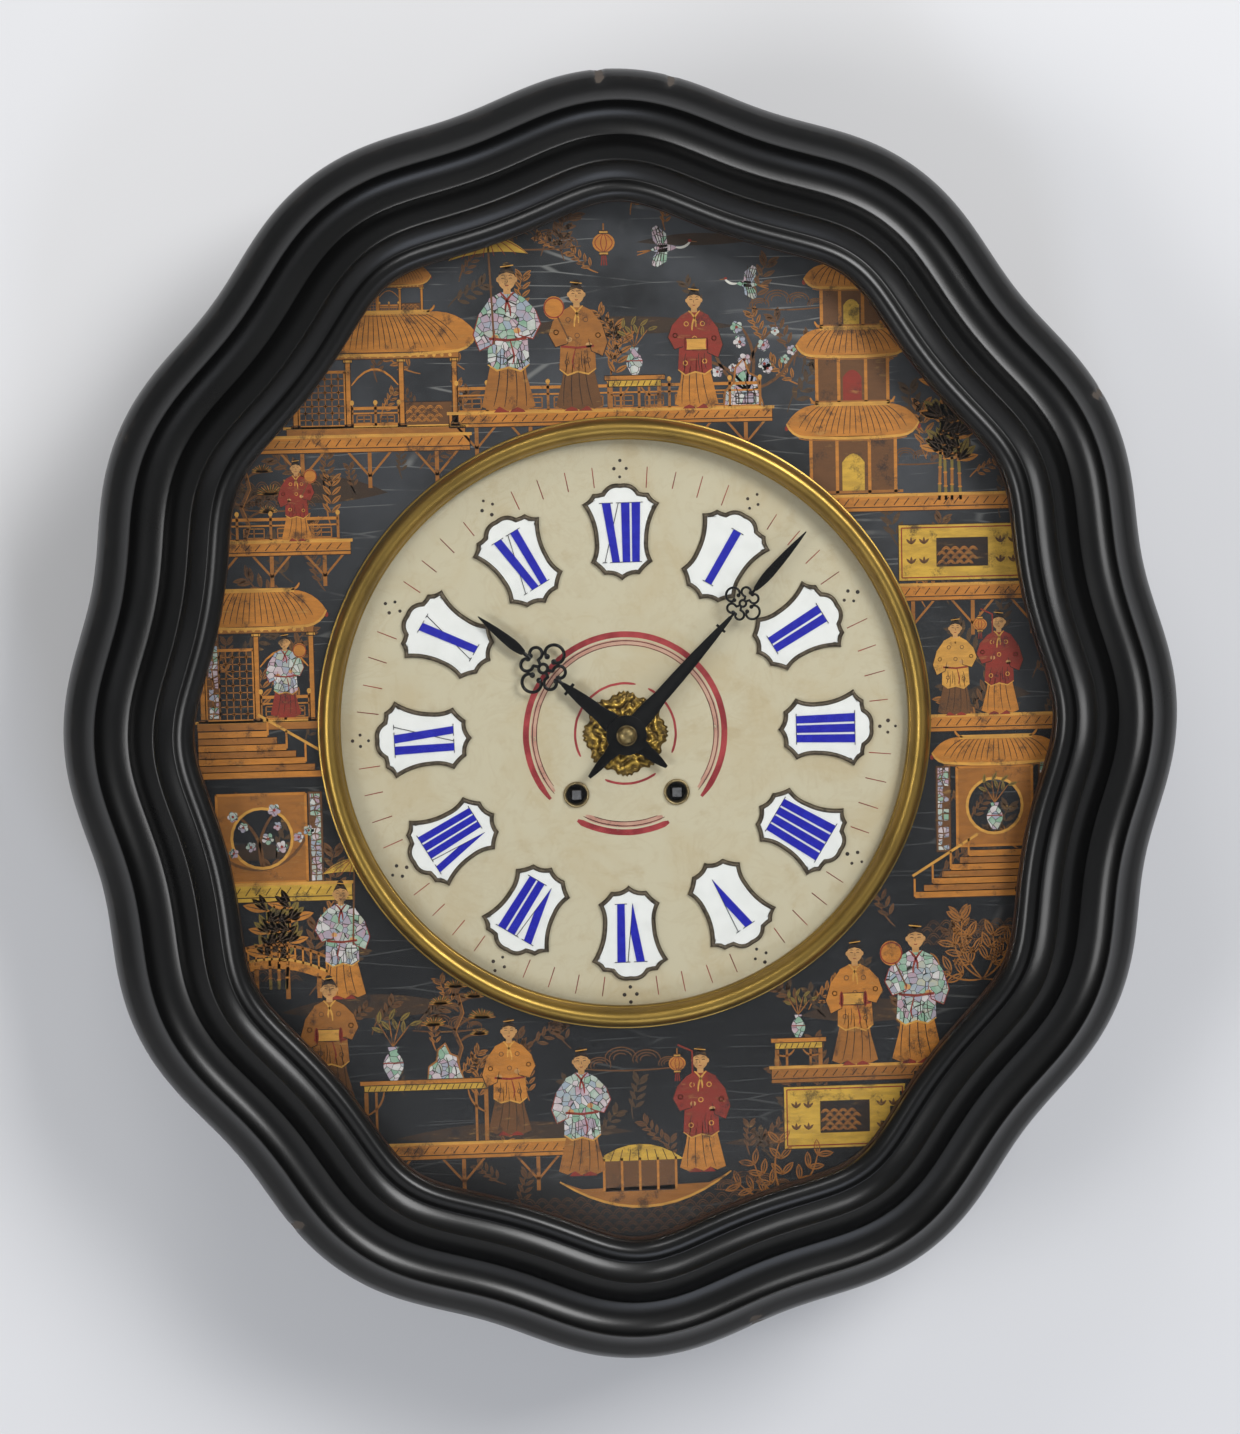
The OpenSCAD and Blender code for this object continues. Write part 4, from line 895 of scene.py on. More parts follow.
@dataclass
class Dial:
    """The alabaster dial with its painted ticks, dots and rings."""

    shop: Workshop
    lift: float = 0.06
    sunk: float = 0.02
    tick_from: float = 123.5
    tick_to: float = 133.5
    tick_width: float = 0.52
    dot_ring: float = 132.0
    dot_radius: float = 0.9
    broad_ring: Point = (49.7, 3.0)
    thin_ring: Point = (46.5, 0.55)
    inmost_ring: Point = (44.4, 0.45)
    pale_ring: Point = (45.8, 2.9)
    small_ring: Point = (25.2, 1.2)

    def arc(self, bm: Mesh, radius: float, width: float, start: float, end: float, lift: float) -> None:
        """Adds one painted arc.

        Args:
            bm: Mesh to add it to.
            radius: Radius of its middle.
            width: Its width, narrowed at both ends.
            start: Where it starts, in degrees clockwise from the top.
            end: Where it ends.
            lift: Its thickness.
        """
        count = max(6, int(abs(end - start) / 3))
        inner, outer = [], []
        for i in range(count + 1):
            f = i / count
            a = math.radians(90 - start - f * (end - start))
            half = width / 2 * (0.5 + 0.5 * min(1.0, 30 * f, 30 * (1 - f)))
            sway = 0.12 * noise.noise(Vector((start + f * (end - start), radius, 0)) * 0.13)
            for line, r in ((inner, radius - half + sway), (outer, radius + half + sway)):
                line.append((r * math.cos(a), HUB_Z + r * math.sin(a)))
        for i in range(count):
            step = [inner[i], inner[i + 1], outer[i + 1], outer[i]]
            plate(bm, step, DIAL_Y + self.sunk, DIAL_Y - lift)
        bmesh.ops.remove_doubles(bm, verts=bm.verts, dist=0.0005)
        doubled = [f for f in bm.faces if f.normal.length and abs(f.normal.y) < 0.3 and self.inner_wall(f)]
        bmesh.ops.delete(bm, geom=doubled, context="FACES_ONLY")

    def inner_wall(self, face: Face) -> bool:
        """Says whether a face is one of two that lie between neighbouring steps of an arc."""
        return any(len(e.link_faces) > 2 for e in face.edges) and all(
            len(e.link_faces) > 2 or abs(e.verts[0].co.y - e.verts[1].co.y) > 0.01 for e in face.edges)

    def build_rings(self) -> None:
        """Paints the rings, each a radius and a width: broad, thin, pale, and small round the rosette."""
        red, pale, brown = bmesh.new(), bmesh.new(), bmesh.new()
        for start, end in ((230, 491), (155, 210)):
            self.arc(red, *self.broad_ring, start, end, self.lift)
            self.arc(brown, *self.thin_ring, start + 1, end - 2, self.lift)
            self.arc(brown, *self.inmost_ring, start + 5, end - 8, self.lift)
            self.arc(pale, *self.pale_ring, start + 2, end - 3, self.lift - 0.02)
        for start, end in ((244, 373), (28, 114), (144, 205)):
            self.arc(red, *self.small_ring, start, end, self.lift)
        self.shop.piece(red, "dial_red_rings", Finish.RING_RED, "case", "alabaster")
        self.shop.piece(pale, "dial_pale_rings", Finish.RING_PALE, "case", "alabaster")
        self.shop.piece(brown, "dial_brown_rings", Finish.RING_BROWN, "case", "alabaster")

    def build_ticks(self) -> None:
        """Paints the minute ticks and the four dots at each hour."""
        rng = random.Random(12)
        ticks, dots = bmesh.new(), bmesh.new()
        half = self.tick_width / 2
        for minute in range(60):
            angle = -6 * minute
            if minute % 5:
                a, b = self.tick_from + rng.uniform(-0.8, 0.8), self.tick_to + rng.uniform(-0.8, 0.8)
                lean = rng.uniform(-0.5, 0.5)
                shape = [(-half, a), (half, a), (half * 0.8 + lean, b), (-half * 0.8 + lean, b)]
                plate(ticks, turned(shape, angle, (0, HUB_Z)), DIAL_Y + self.sunk, DIAL_Y - self.lift)
                continue
            for dx, dz in ((0, 4.0), (0, -4.0), (3.0, 0), (-3.0, 0)):
                r = self.dot_radius * rng.uniform(0.8, 1.15)
                cx, cz = dx + rng.uniform(-0.2, 0.2), self.dot_ring + dz + rng.uniform(-0.2, 0.2)
                dot = turned(ellipse(cx, cz, r, r, 12), angle, (0, HUB_Z))
                plate(dots, dot, DIAL_Y + self.sunk, DIAL_Y - self.lift)
        self.shop.piece(ticks, "dial_ticks", Finish.TICK_RED, "case", "alabaster")
        self.shop.piece(dots, "dial_dots", Finish.DOT_BLACK, "case", "alabaster")

    def build(self) -> None:
        """Builds the dial."""
        self.shop.dress(Finish.ALABASTER, "dial")
        self.build_rings()
        self.build_ticks()


@dataclass
class HourPlaques:
    """The twelve enamel plaques, their bronze rims and their numerals."""

    shop: Workshop
    ring: float = 100.6
    width: float = 38.6
    height: float = 48.0
    rim: float = 2.3
    rim_foot: float = 1.0
    rim_top: float = 2.1
    rim_steps: int = 7
    tucked: float = 0.4
    enamel_rise: float = 0.75
    lean: tuple[float, ...] = (0.6, -1.0, 1.2, 0.0, -1.5, 2.0, 0.5, -2.0, 0.8, 1.5, -1.2, 0.4)
    numerals: tuple[str, ...] = ("XII", "I", "II", "III", "IIII", "V", "VI", "VII", "VIII", "IX", "X", "XI")

    def outline(self) -> list[Point]:
        """Gives a plaque's outline about its middle."""
        w, h = self.width, self.height
        foot, base, waist = (w * 0.23, -h * 0.44), (w * 0.4, -h * 0.31), (w * 0.345, -h * 0.08)
        wing, shoulder, spring = (w / 2, h * 0.295), (w * 0.36, h * 0.4), (w * 0.24, h * 0.412)
        half = bow((0, -h / 2), foot, 1.2, 5) + bow(foot, base, 0.5, 5) + bow(base, waist, 0.9, 6)
        half += bow(waist, wing, 1.4, 9) + bow(wing, shoulder, 0.7, 5) + bow(shoulder, spring, 0.2, 2)
        half += bow(spring, (0, h / 2), -1.7, 8)
        return half + [(0.0, h / 2)] + [(-x, z) for x, z in reversed(half[1:])]

    def placed(self, points: Iterable[Point], hour: int) -> list[Point]:
        """Moves points from a plaque's own middle to its hour, 30 degrees on for each."""
        return turned([(x, z + self.ring) for x, z in points], -30 * hour, (0, HUB_Z))

    def inset(self, bm: Mesh, face: Face, steps: Iterable[Point]) -> None:
        """Shapes a plate's face by insets, each a width and a rise towards the front."""
        for width, rise in steps:
            bmesh.ops.inset_region(bm, faces=[face], thickness=width, depth=rise, use_even_offset=True)

    def build_rims(self) -> None:
        """Makes the rims, round in section."""
        bm = bmesh.new()
        steps = self.rim_steps
        for hour in range(12):
            face = plate(bm, self.placed(self.outline(), hour), DIAL_Y, DIAL_Y - self.rim_foot)
            low = 0.0
            for i in range(1, steps + 1):
                round_off = math.sin(math.pi * i / steps) ** 0.7 if i < steps else 0.0
                rise = (self.rim_top - self.rim_foot) * round_off
                self.inset(bm, face, [(self.rim / steps, rise - low)])
                low = rise
            self.inset(bm, face, [(0.02, -0.9)])
        bmesh.ops.recalc_face_normals(bm, faces=bm.faces)
        self.shop.piece(bm, "plaque_rims", Finish.BRONZE, "case", "bronze", ["cartouche_rims"], 60)

    def build_enamel(self) -> None:
        """Makes the enamel, which swells a little inside its rim."""
        bm = bmesh.new()
        for hour in range(12):
            outline = self.placed(self.outline(), hour)
            face = bm.faces.new([bm.verts.new((x, DIAL_Y - 0.1, z)) for x, z in outline])
            face.normal_update()
            if face.normal.y > 0:
                face.normal_flip()
            reach = self.rim - self.tucked
            inset = bmesh.ops.inset_region(bm, faces=[face], thickness=reach, use_even_offset=True)
            bmesh.ops.delete(bm, geom=inset["faces"], context="FACES")
            made = bmesh.ops.extrude_face_region(bm, geom=[face], use_keep_orig=True)["geom"]
            bmesh.ops.translate(bm, vec=(0, -self.enamel_rise, 0), verts=picked(made, Vert))
            top = picked(made, Face)[0]
            self.inset(bm, top, [(0.5, 0.2), (0.8, 0.15), (1.2, 0.1)])
        bmesh.ops.recalc_face_normals(bm, faces=bm.faces)
        self.shop.piece(bm, "hour_enamel", Finish.ENAMEL, "case", "enamel", ["enamel_plaques"], 60)

    def build(self) -> None:
        """Builds the plaques."""
        self.build_rims()
        self.build_enamel()
        Numerals(self.shop, self).build()


@dataclass
class Numerals:
    """The blue and black hour numerals on the enamel."""

    shop: Workshop
    plaques: HourPlaques
    heavy: float = 4.2
    hair: float = 0.3
    serif: float = 1.3
    top: float = 14.6
    bottom: float = -14.9
    taper: float = 0.89
    widest: float = 21.2
    face: float = -108.3
    heavy_lift: float = 0.42
    hair_lift: float = 0.36
    serif_lift: float = 0.38
    small_serif: float = 1.2
    rooms: tuple[tuple[str, float], ...] = (("I", 5.3), ("V", 9.0), ("X", 10.0))
    blue: Mesh = field(default_factory=bmesh.new)
    black: Mesh = field(default_factory=bmesh.new)

    def put(self, bm: Mesh, shape: Sequence[Point], hour: int, lift: float) -> None:
        """Lays one shape on an hour's enamel. Shapes narrow towards the dial's middle."""
        span = self.top - self.bottom
        drawn = [(x * (self.taper + (1 - self.taper) * (z - self.bottom) / span), z) for x, z in shape]
        outline = self.plaques.placed(turned(drawn, self.plaques.lean[hour]), hour)
        plate(bm, outline, self.face, self.face - lift)

    def slanted(self, low: float, high: float, width: float) -> list[Point]:
        """Gives a straight stroke's outline, its foot at low and its head at high."""
        h = width / 2
        return [(low - h, self.bottom), (low + h, self.bottom), (high + h, self.top), (high - h, self.top)]

    def stroke(self, hour: int, low: float, high: float, width: float) -> None:
        """Draws one heavy stroke."""
        self.put(self.blue, self.slanted(low, high, width), hour, self.heavy_lift)

    def hairline(self, hour: int, low: float, high: float) -> None:
        """Draws one slanted hairline."""
        self.put(self.black, self.slanted(low, high, self.hair), hour, self.hair_lift)

    def serif_line(self, hour: int, mid: float, half: float, level: float) -> None:
        """Draws one serif about its middle."""
        low, high = level - self.hair / 2, level + self.hair / 2
        shape = [(mid - half, low), (mid + half, low), (mid + half, high), (mid - half, high)]
        self.put(self.black, shape, hour, self.serif_lift)

    def draw(self, hour: int, text: str) -> None:
        """Draws one numeral, centred on its plaque and narrowed to fit it."""
        rooms = dict(self.rooms)
        total = sum(rooms[g] for g in text)
        k = min(1.0, self.widest / total)
        wide, reach = self.heavy * k, (self.heavy / 2 + self.serif) * k
        x = -total * k / 2
        for glyph in text:
            mid = x + rooms[glyph] * k / 2
            if glyph == "I":
                self.stroke(hour, mid, mid, wide)
                self.serif_line(hour, mid, reach, self.top)
                self.serif_line(hour, mid, reach, self.bottom)
            elif glyph == "V":
                self.draw_v(hour, mid, k)
            else:
                self.draw_x(hour, mid, k)
            x += rooms[glyph] * k

    def draw_x(self, hour: int, mid: float, k: float) -> None:
        """Draws an X, whose heavy stroke is crossed by its hairline."""
        lean, foot, head = 1.9 * k, mid - 4.4 * k, mid + 4.2 * k
        reach = (self.heavy / 2 + self.serif) * k
        self.stroke(hour, mid + lean, mid - lean, self.heavy * k)
        self.hairline(hour, foot, head)
        self.serif_line(hour, mid - lean, reach, self.top)
        self.serif_line(hour, mid + lean, reach, self.bottom)
        self.serif_line(hour, head, self.small_serif * k, self.top)
        self.serif_line(hour, foot, self.small_serif * k, self.bottom)

    def draw_v(self, hour: int, mid: float, k: float) -> None:
        """Draws a V, whose heavy stroke is cut to a point by its hairline."""
        left, right, tip = mid - 4.6 * k, mid + 3.9 * k, mid + 0.5 * k
        wide = self.heavy * k
        f = wide / (right - left)
        span = self.top - self.bottom
        meet = (tip + (left - tip) * f + wide, self.bottom + span * f)
        shape = [(tip, self.bottom), meet, (left + wide, self.top), (left, self.top)]
        self.put(self.blue, shape, hour, self.heavy_lift)
        self.hairline(hour, tip, right)
        self.serif_line(hour, left + wide / 2, wide / 2 + self.serif * k, self.top)
        self.serif_line(hour, right, self.small_serif * k, self.top)

    def build(self) -> None:
        """Draws all twelve numerals."""
        for hour, text in enumerate(self.plaques.numerals):
            self.draw(hour, text)
        self.shop.piece(self.blue, "numeral_strokes", Finish.NUMERAL_BLUE, "case", "enamel")
        self.shop.piece(self.black, "numeral_hairlines", Finish.NUMERAL_BLACK, "case", "enamel")


@dataclass(frozen=True)
class Scroll:
    """A hand's scrollwork: the hand's clock angle, how far out it lies, its size, level and thickness."""

    angle: float
    distance_out: float
    size: float
    level: float = 0.0
    thick: float = 1.2

    def along(self) -> Vector:
        """Gives the direction from the axis to the hand's tip."""
        up, right = heading(self.angle)
        return Vector((right, 0, up))

    def at(self, point: Point) -> Vector:
        """Gives the place of a point that is given across and along the hand, in sizes of the scrollwork."""
        along = self.along()
        across = Vector((along.z, 0, -along.x))
        out = self.distance_out + point[1] * self.size
        return Vector((0, self.level, HUB_Z)) + across * (point[0] * self.size) + along * out

    def distance(self, place: Vector) -> float:
        """Says how far along the hand a place is from the scrollwork's middle, in its sizes."""
        return ((place - Vector((0, 0, HUB_Z))).dot(self.along()) - self.distance_out) / self.size


def turns(start: float, end: float, steps: int) -> list[float]:
    """Gives evenly spaced angles in radians between two in degrees."""
    return [math.radians(start + (end - start) * i / steps) for i in range(steps + 1)]


@dataclass
class Hands:
    """The pierced hands, the rosette under them and the nut on top."""

    shop: Workshop
    nut_radius: float = 4.75
    nut_back: float = -117.2
    nut_front: float = -121.8
    rosette_radius: float = 21.5
    rosette_steps: int = 216
    rosette_rows: int = 34

    def build_nut(self) -> None:
        """Turns the domed nut and pits it."""
        depth = self.nut_back - self.nut_front
        profile = [(self.nut_radius + 0.4, self.nut_back), (self.nut_radius + 0.4, self.nut_back - 1.1)]
        profile += [(self.nut_radius + 0.2, self.nut_back - 1.35)]
        for i in range(15):
            a = math.pi / 2 * i / 15
            profile.append((self.nut_radius * math.cos(a), self.nut_back - 1.4 - (depth - 1.4) * math.sin(a)))
        profile += [(0.0, self.nut_front)]
        bm = spun(profile, (0, HUB_Z), 64)
        rim = [e for e in bm.edges if e.is_boundary]
        bmesh.ops.contextual_create(bm, geom=rim)
        for v in bm.verts:
            if v.co.y < self.nut_back - 1.5 and v.co.y > self.nut_front + 0.3:
                v.co.y += 0.22 * max(0.0, noise.noise(v.co * 1.1))
        bmesh.ops.recalc_face_normals(bm, faces=bm.faces)
        self.shop.piece(bm, "domed_nut", Finish.NUT_BRASS, "minute", "gilt", ["hand_nut"], 40)

    def relief(self, r: float, a: float) -> tuple[float, float]:
        """Shapes the rosette.

        Args:
            r: Distance from the middle, as a share of the radius.
            a: Angle in radians.

        Returns:
            Height from 0 to 1, and how far the edge reaches there.
        """
        lobes = 8
        leaf = abs(math.cos(lobes / 2 * a))
        jag = 0.5 + 0.5 * math.sin(40 * a + 3 * math.sin(8 * a))
        reach = 0.86 + 0.1 * leaf + 0.05 * jag
        vein = math.cos(lobes * 2 * a + 5 * r) * math.cos(lobes * a)
        curl = math.sin(26 * r + 2.2 * math.sin(lobes * a))
        eye = noise.noise(Vector((r * 9 * math.cos(a), r * 9 * math.sin(a), 1.7)))
        swell = math.sin(math.pi * min(1.0, max(0.0, (r - 0.18) / 0.82))) ** 0.6
        height = swell * (0.5 + 0.22 * vein + 0.2 * curl + 0.25 * eye)
        return max(0.05, height), reach

    def build_rosette(self) -> None:
        """Presses the gilt rosette."""
        inner = 5.4
        span = self.rosette_radius - inner
        profile = [(inner + span * i / self.rosette_rows, 0.0) for i in range(self.rosette_rows + 1)]
        bm = spun(profile, (0, 0), self.rosette_steps)
        layer = bm.verts.layers.float.new("relief")
        for v in bm.verts:
            r, a = math.hypot(v.co.x, v.co.z), math.atan2(v.co.z, v.co.x)
            share = r / self.rosette_radius
            height, reach = self.relief(share, a)
            pull = 1 - (1 - reach) * ((r - inner) / span) ** 2
            edge = 1 - max(0.0, (share - 0.94) / 0.06)
            v[layer] = height
            v.co = (v.co.x * pull, DIAL_Y - 0.35 - 2.6 * height * edge, HUB_Z + v.co.z * pull)
        bmesh.ops.recalc_face_normals(bm, faces=bm.faces)
        if sum(f.normal.y for f in bm.faces) > 0:
            bmesh.ops.reverse_faces(bm, faces=bm.faces)
        rim = [e for e in bm.edges if e.is_boundary]
        made = bmesh.ops.extrude_edge_only(bm, edges=rim)["geom"]
        for v in picked(made, Vert):
            v.co.y = DIAL_Y
            v[layer] = 0.0
        open_edges = [e for e in bm.edges if e.is_boundary]
        bmesh.ops.bridge_loops(bm, edges=open_edges)
        bmesh.ops.recalc_face_normals(bm, faces=bm.faces)
        self.shop.piece(bm, "gilt_rosette", Finish.GILT, "case", "gilt", ["centre_rosette"], 60)

    def strip(self, bm: Mesh, path: Sequence[Point], width: float, place: Scroll) -> None:
        """Adds a rounded strip to a hand's scrollwork.

        Args:
            bm: Mesh to add it to.
            path: Its middle, across and along the hand, in sizes of the scrollwork.
            width: Its width, in the same sizes.
            place: Where the scrollwork lies.
        """
        middle = [place.at(p) for p in path]
        rows = []
        for i, p in enumerate(middle):
            ahead = middle[min(i + 1, len(middle) - 1)] - middle[max(i - 1, 0)]
            side = Vector((ahead.z, 0, -ahead.x)).normalized() * (width * place.size / 2)
            row = []
            for k in range(12):
                a = k * math.tau / 12
                depth = Vector((0, place.thick / 2 * math.sin(a), 0))
                row.append(bm.verts.new(p + side * math.cos(a) + depth))
            rows.append(row)
        for one, two in zip(rows, rows[1:]):
            for k in range(12):
                bm.faces.new((one[k], one[(k + 1) % 12], two[(k + 1) % 12], two[k]))
        bm.faces.new(rows[0])
        bm.faces.new(rows[-1])

    def curls(self, bm: Mesh, place: Scroll) -> None:
        """Puts open curls with bulbs at their ends in place of a hand's rings.

        Args:
            bm: Mesh of the hand.
            place: Where the scrollwork lies.
        """
        reach, width, bulb = 2.4, 0.32, 0.28
        for cut in (-reach, reach):
            everything = bm.verts[:] + bm.edges[:] + bm.faces[:]
            bmesh.ops.bisect_plane(bm, geom=everything, plane_co=place.at((0, cut)), plane_no=place.along())
        gone = [v for v in bm.verts if abs(place.distance(v.co)) < reach - 0.002]
        bmesh.ops.delete(bm, geom=gone, context="VERTS")
        bmesh.ops.holes_fill(bm, edges=[e for e in bm.edges if e.is_boundary], sides=0)
        ring = [(0.43 * math.cos(a), 0.43 * math.sin(a)) for a in turns(0, 366, 24)]
        self.strip(bm, ring, width, place)
        bulbs = []
        for s in (-1, 1):
            big = []
            for a in turns(-140, 140, 36):
                r = 1 - 0.36 * abs(a / math.radians(140)) ** 4
                big.append((s * (1.62 + r * math.cos(a)), r * math.sin(a)))
            self.strip(bm, big, width, place)
            bulbs += [big[0], big[-1]]
            self.strip(bm, [(0, s * 2.5), (0, s * 1.95), (0, s * 1.5)], 0.36, place)
            for t in (-1, 1):
                small = []
                for a in turns(150, -120, 30):
                    small.append((s * (0.68 + 0.6 * math.cos(a)), t * (1.42 + 0.6 * math.sin(a))))
                self.strip(bm, [*small, (s * 0.22, t * 0.62), (s * 0.12, t * 0.4)], width, place)
                bulbs.append(small[0])
        flatness = 0.9 * place.thick / (2 * bulb * place.size)
        for p in bulbs:
            flat = Matrix.Translation(place.at(p)) @ Matrix.Diagonal((1, flatness, 1, 1))
            bmesh.ops.create_uvsphere(bm, u_segments=14, v_segments=9, radius=bulb * place.size, matrix=flat)
        bmesh.ops.recalc_face_normals(bm, faces=bm.faces)

    def build(self) -> None:
        """Builds the hands and what holds them."""
        hands = (
            ("hour_hand", "pierced_hour_hand", "hour", Scroll(angle=310.0, distance_out=53.0, size=5.2)),
            ("minute_hand", "pierced_minute_hand", "minute", Scroll(angle=42.7, distance_out=87.3, size=3.8)),
        )
        for node, name, body, place in hands:
            bm = self.shop.softened(node, 0.28, 3)
            near = [v.co.y for v in bm.verts if abs(place.distance(v.co)) < 2]
            place = replace(place, level=(min(near) + max(near)) / 2, thick=max(near) - min(near))
            self.curls(bm, place)
            self.shop.piece(bm, name, Finish.HAND_BLACK, body, "blued_black", [node], 60)
        self.build_nut()
        self.build_rosette()


@dataclass
class WindingHoles:
    """The bronze grommets in the dial and the squares behind them."""

    shop: Workshop
    reach: float = 25.15
    drop: float = 35.0
    outer: float = 6.5
    inner: float = 5.0
    back: float = -101.2

    def build(self) -> None:
        """Builds both grommets."""
        bm = bmesh.new()
        mid, half = (self.outer + self.inner + 0.2) / 2, (self.outer - self.inner - 0.2) / 2
        for side in (-1, 1):
            profile = [(self.inner, self.back), (self.inner, DIAL_Y - 0.6), (self.inner + 0.2, DIAL_Y - 0.9)]
            for i in range(13):
                a = math.pi * (1 - i / 12)
                profile.append((mid + half * math.cos(a), DIAL_Y - 0.75 - half * 1.1 * math.sin(a)))
            profile += [(self.outer, DIAL_Y), (self.inner + 0.4, DIAL_Y), (self.inner + 0.4, self.back)]
            ring = spun(profile, (side * self.reach, -self.drop), 64, closed=True)
            part = bpy.data.meshes.new("grommet_part")
            ring.to_mesh(part)
            ring.free()
            bm.from_mesh(part)
            bpy.data.meshes.remove(part)
        self.shop.piece(bm, "bronze_grommets", Finish.GROMMET, "case", "bronze", ["winding_grommets"], 40)
        self.shop.dress(Finish.DARK_STEEL, "going_winding_arbor", "strike_winding_arbor")


class Tint(Enum):
    """The paints and shells of the panel."""

    GOLD = "c67f30"
    BRIGHT = "dba047"
    OCHRE = "a4682a"
    BROWN = "6b4523"
    WASH = "38291c"
    DUSK = "4e3a26"
    YELLOW = "d4a83e"
    RED = "8f2c1e"
    SKIN = "cf9a5e"
    HAIR = "1d130c"
    LINE = "2b180b"
    LEAF = "85702f"
    GREEN = "93b796"
    ROSE = "cda7ae"
    MILK = "dfdcd2"
    BLUE = "9fb4c4"

    @property
    def light(self) -> tuple[float, float, float, float]:
        """Linear colour of the paint."""
        return rgb(self.value)


@dataclass
class Sheet:
    """Thin flat shapes of one finish, which are raised off the panel together."""

    bm: Mesh = field(default_factory=bmesh.new)
    sunk: float = 0.02

    def __post_init__(self) -> None:
        """Adds what each point remembers."""
        self.tint = self.bm.verts.layers.float_color.new("tint")
        self.lift = self.bm.verts.layers.float.new("lift")

    def add(self, cells: Sequence[Sequence[Point]], tint: Tint, lift: float) -> None:
        """Adds the cells of one shape, joined where they share a point."""
        known: dict[tuple[float, float], Vert] = {}
        for cell in cells:
            corners = []
            for x, z in cell:
                key = (round(x, 3), round(z, 3))
                if key not in known:
                    known[key] = self.bm.verts.new((x, PANEL_Y + self.sunk, z))
                    known[key][self.tint] = tint.light
                    known[key][self.lift] = lift
                if known[key] not in corners:
                    corners.append(known[key])
            if len(corners) > 2:
                try:
                    self.bm.faces.new(corners)
                except ValueError:
                    LOG.debug("a cell came twice")

    def raised(self) -> Mesh:
        """Gives every shape its thickness."""
        made = bmesh.ops.extrude_face_region(self.bm, geom=self.bm.faces[:], use_keep_orig=True)["geom"]
        for v in picked(made, Vert):
            v.co.y = PANEL_Y - v[self.lift]
        bmesh.ops.recalc_face_normals(self.bm, faces=self.bm.faces)
        return self.bm


@dataclass
class Room:
    """The part of the panel that may be painted: outside the bezel and inside the frame."""

    edge: WavedEdge
    covered: float = 149.0
    hidden: float = 60.0

    def __post_init__(self) -> None:
        """Measures how far the paint may reach in each direction."""
        spots = [self.edge.ring(self.hidden, t) for t in range(0, 360, 2)]
        polar = sorted((math.atan2(p.y, p.x), p.length) for p in spots)
        self.turns = [a for a, _ in polar]
        self.reaches = [r for _, r in polar]

    def holds(self, p: Point, margin: float = 0.0) -> bool:
        """Says whether a point may be painted."""
        r = math.hypot(*p)
        if r < self.covered + margin:
            return False
        i = bisect_right(self.turns, math.atan2(p[1], p[0])) % len(self.turns)
        return r < min(self.reaches[i], self.reaches[i - 1]) - margin


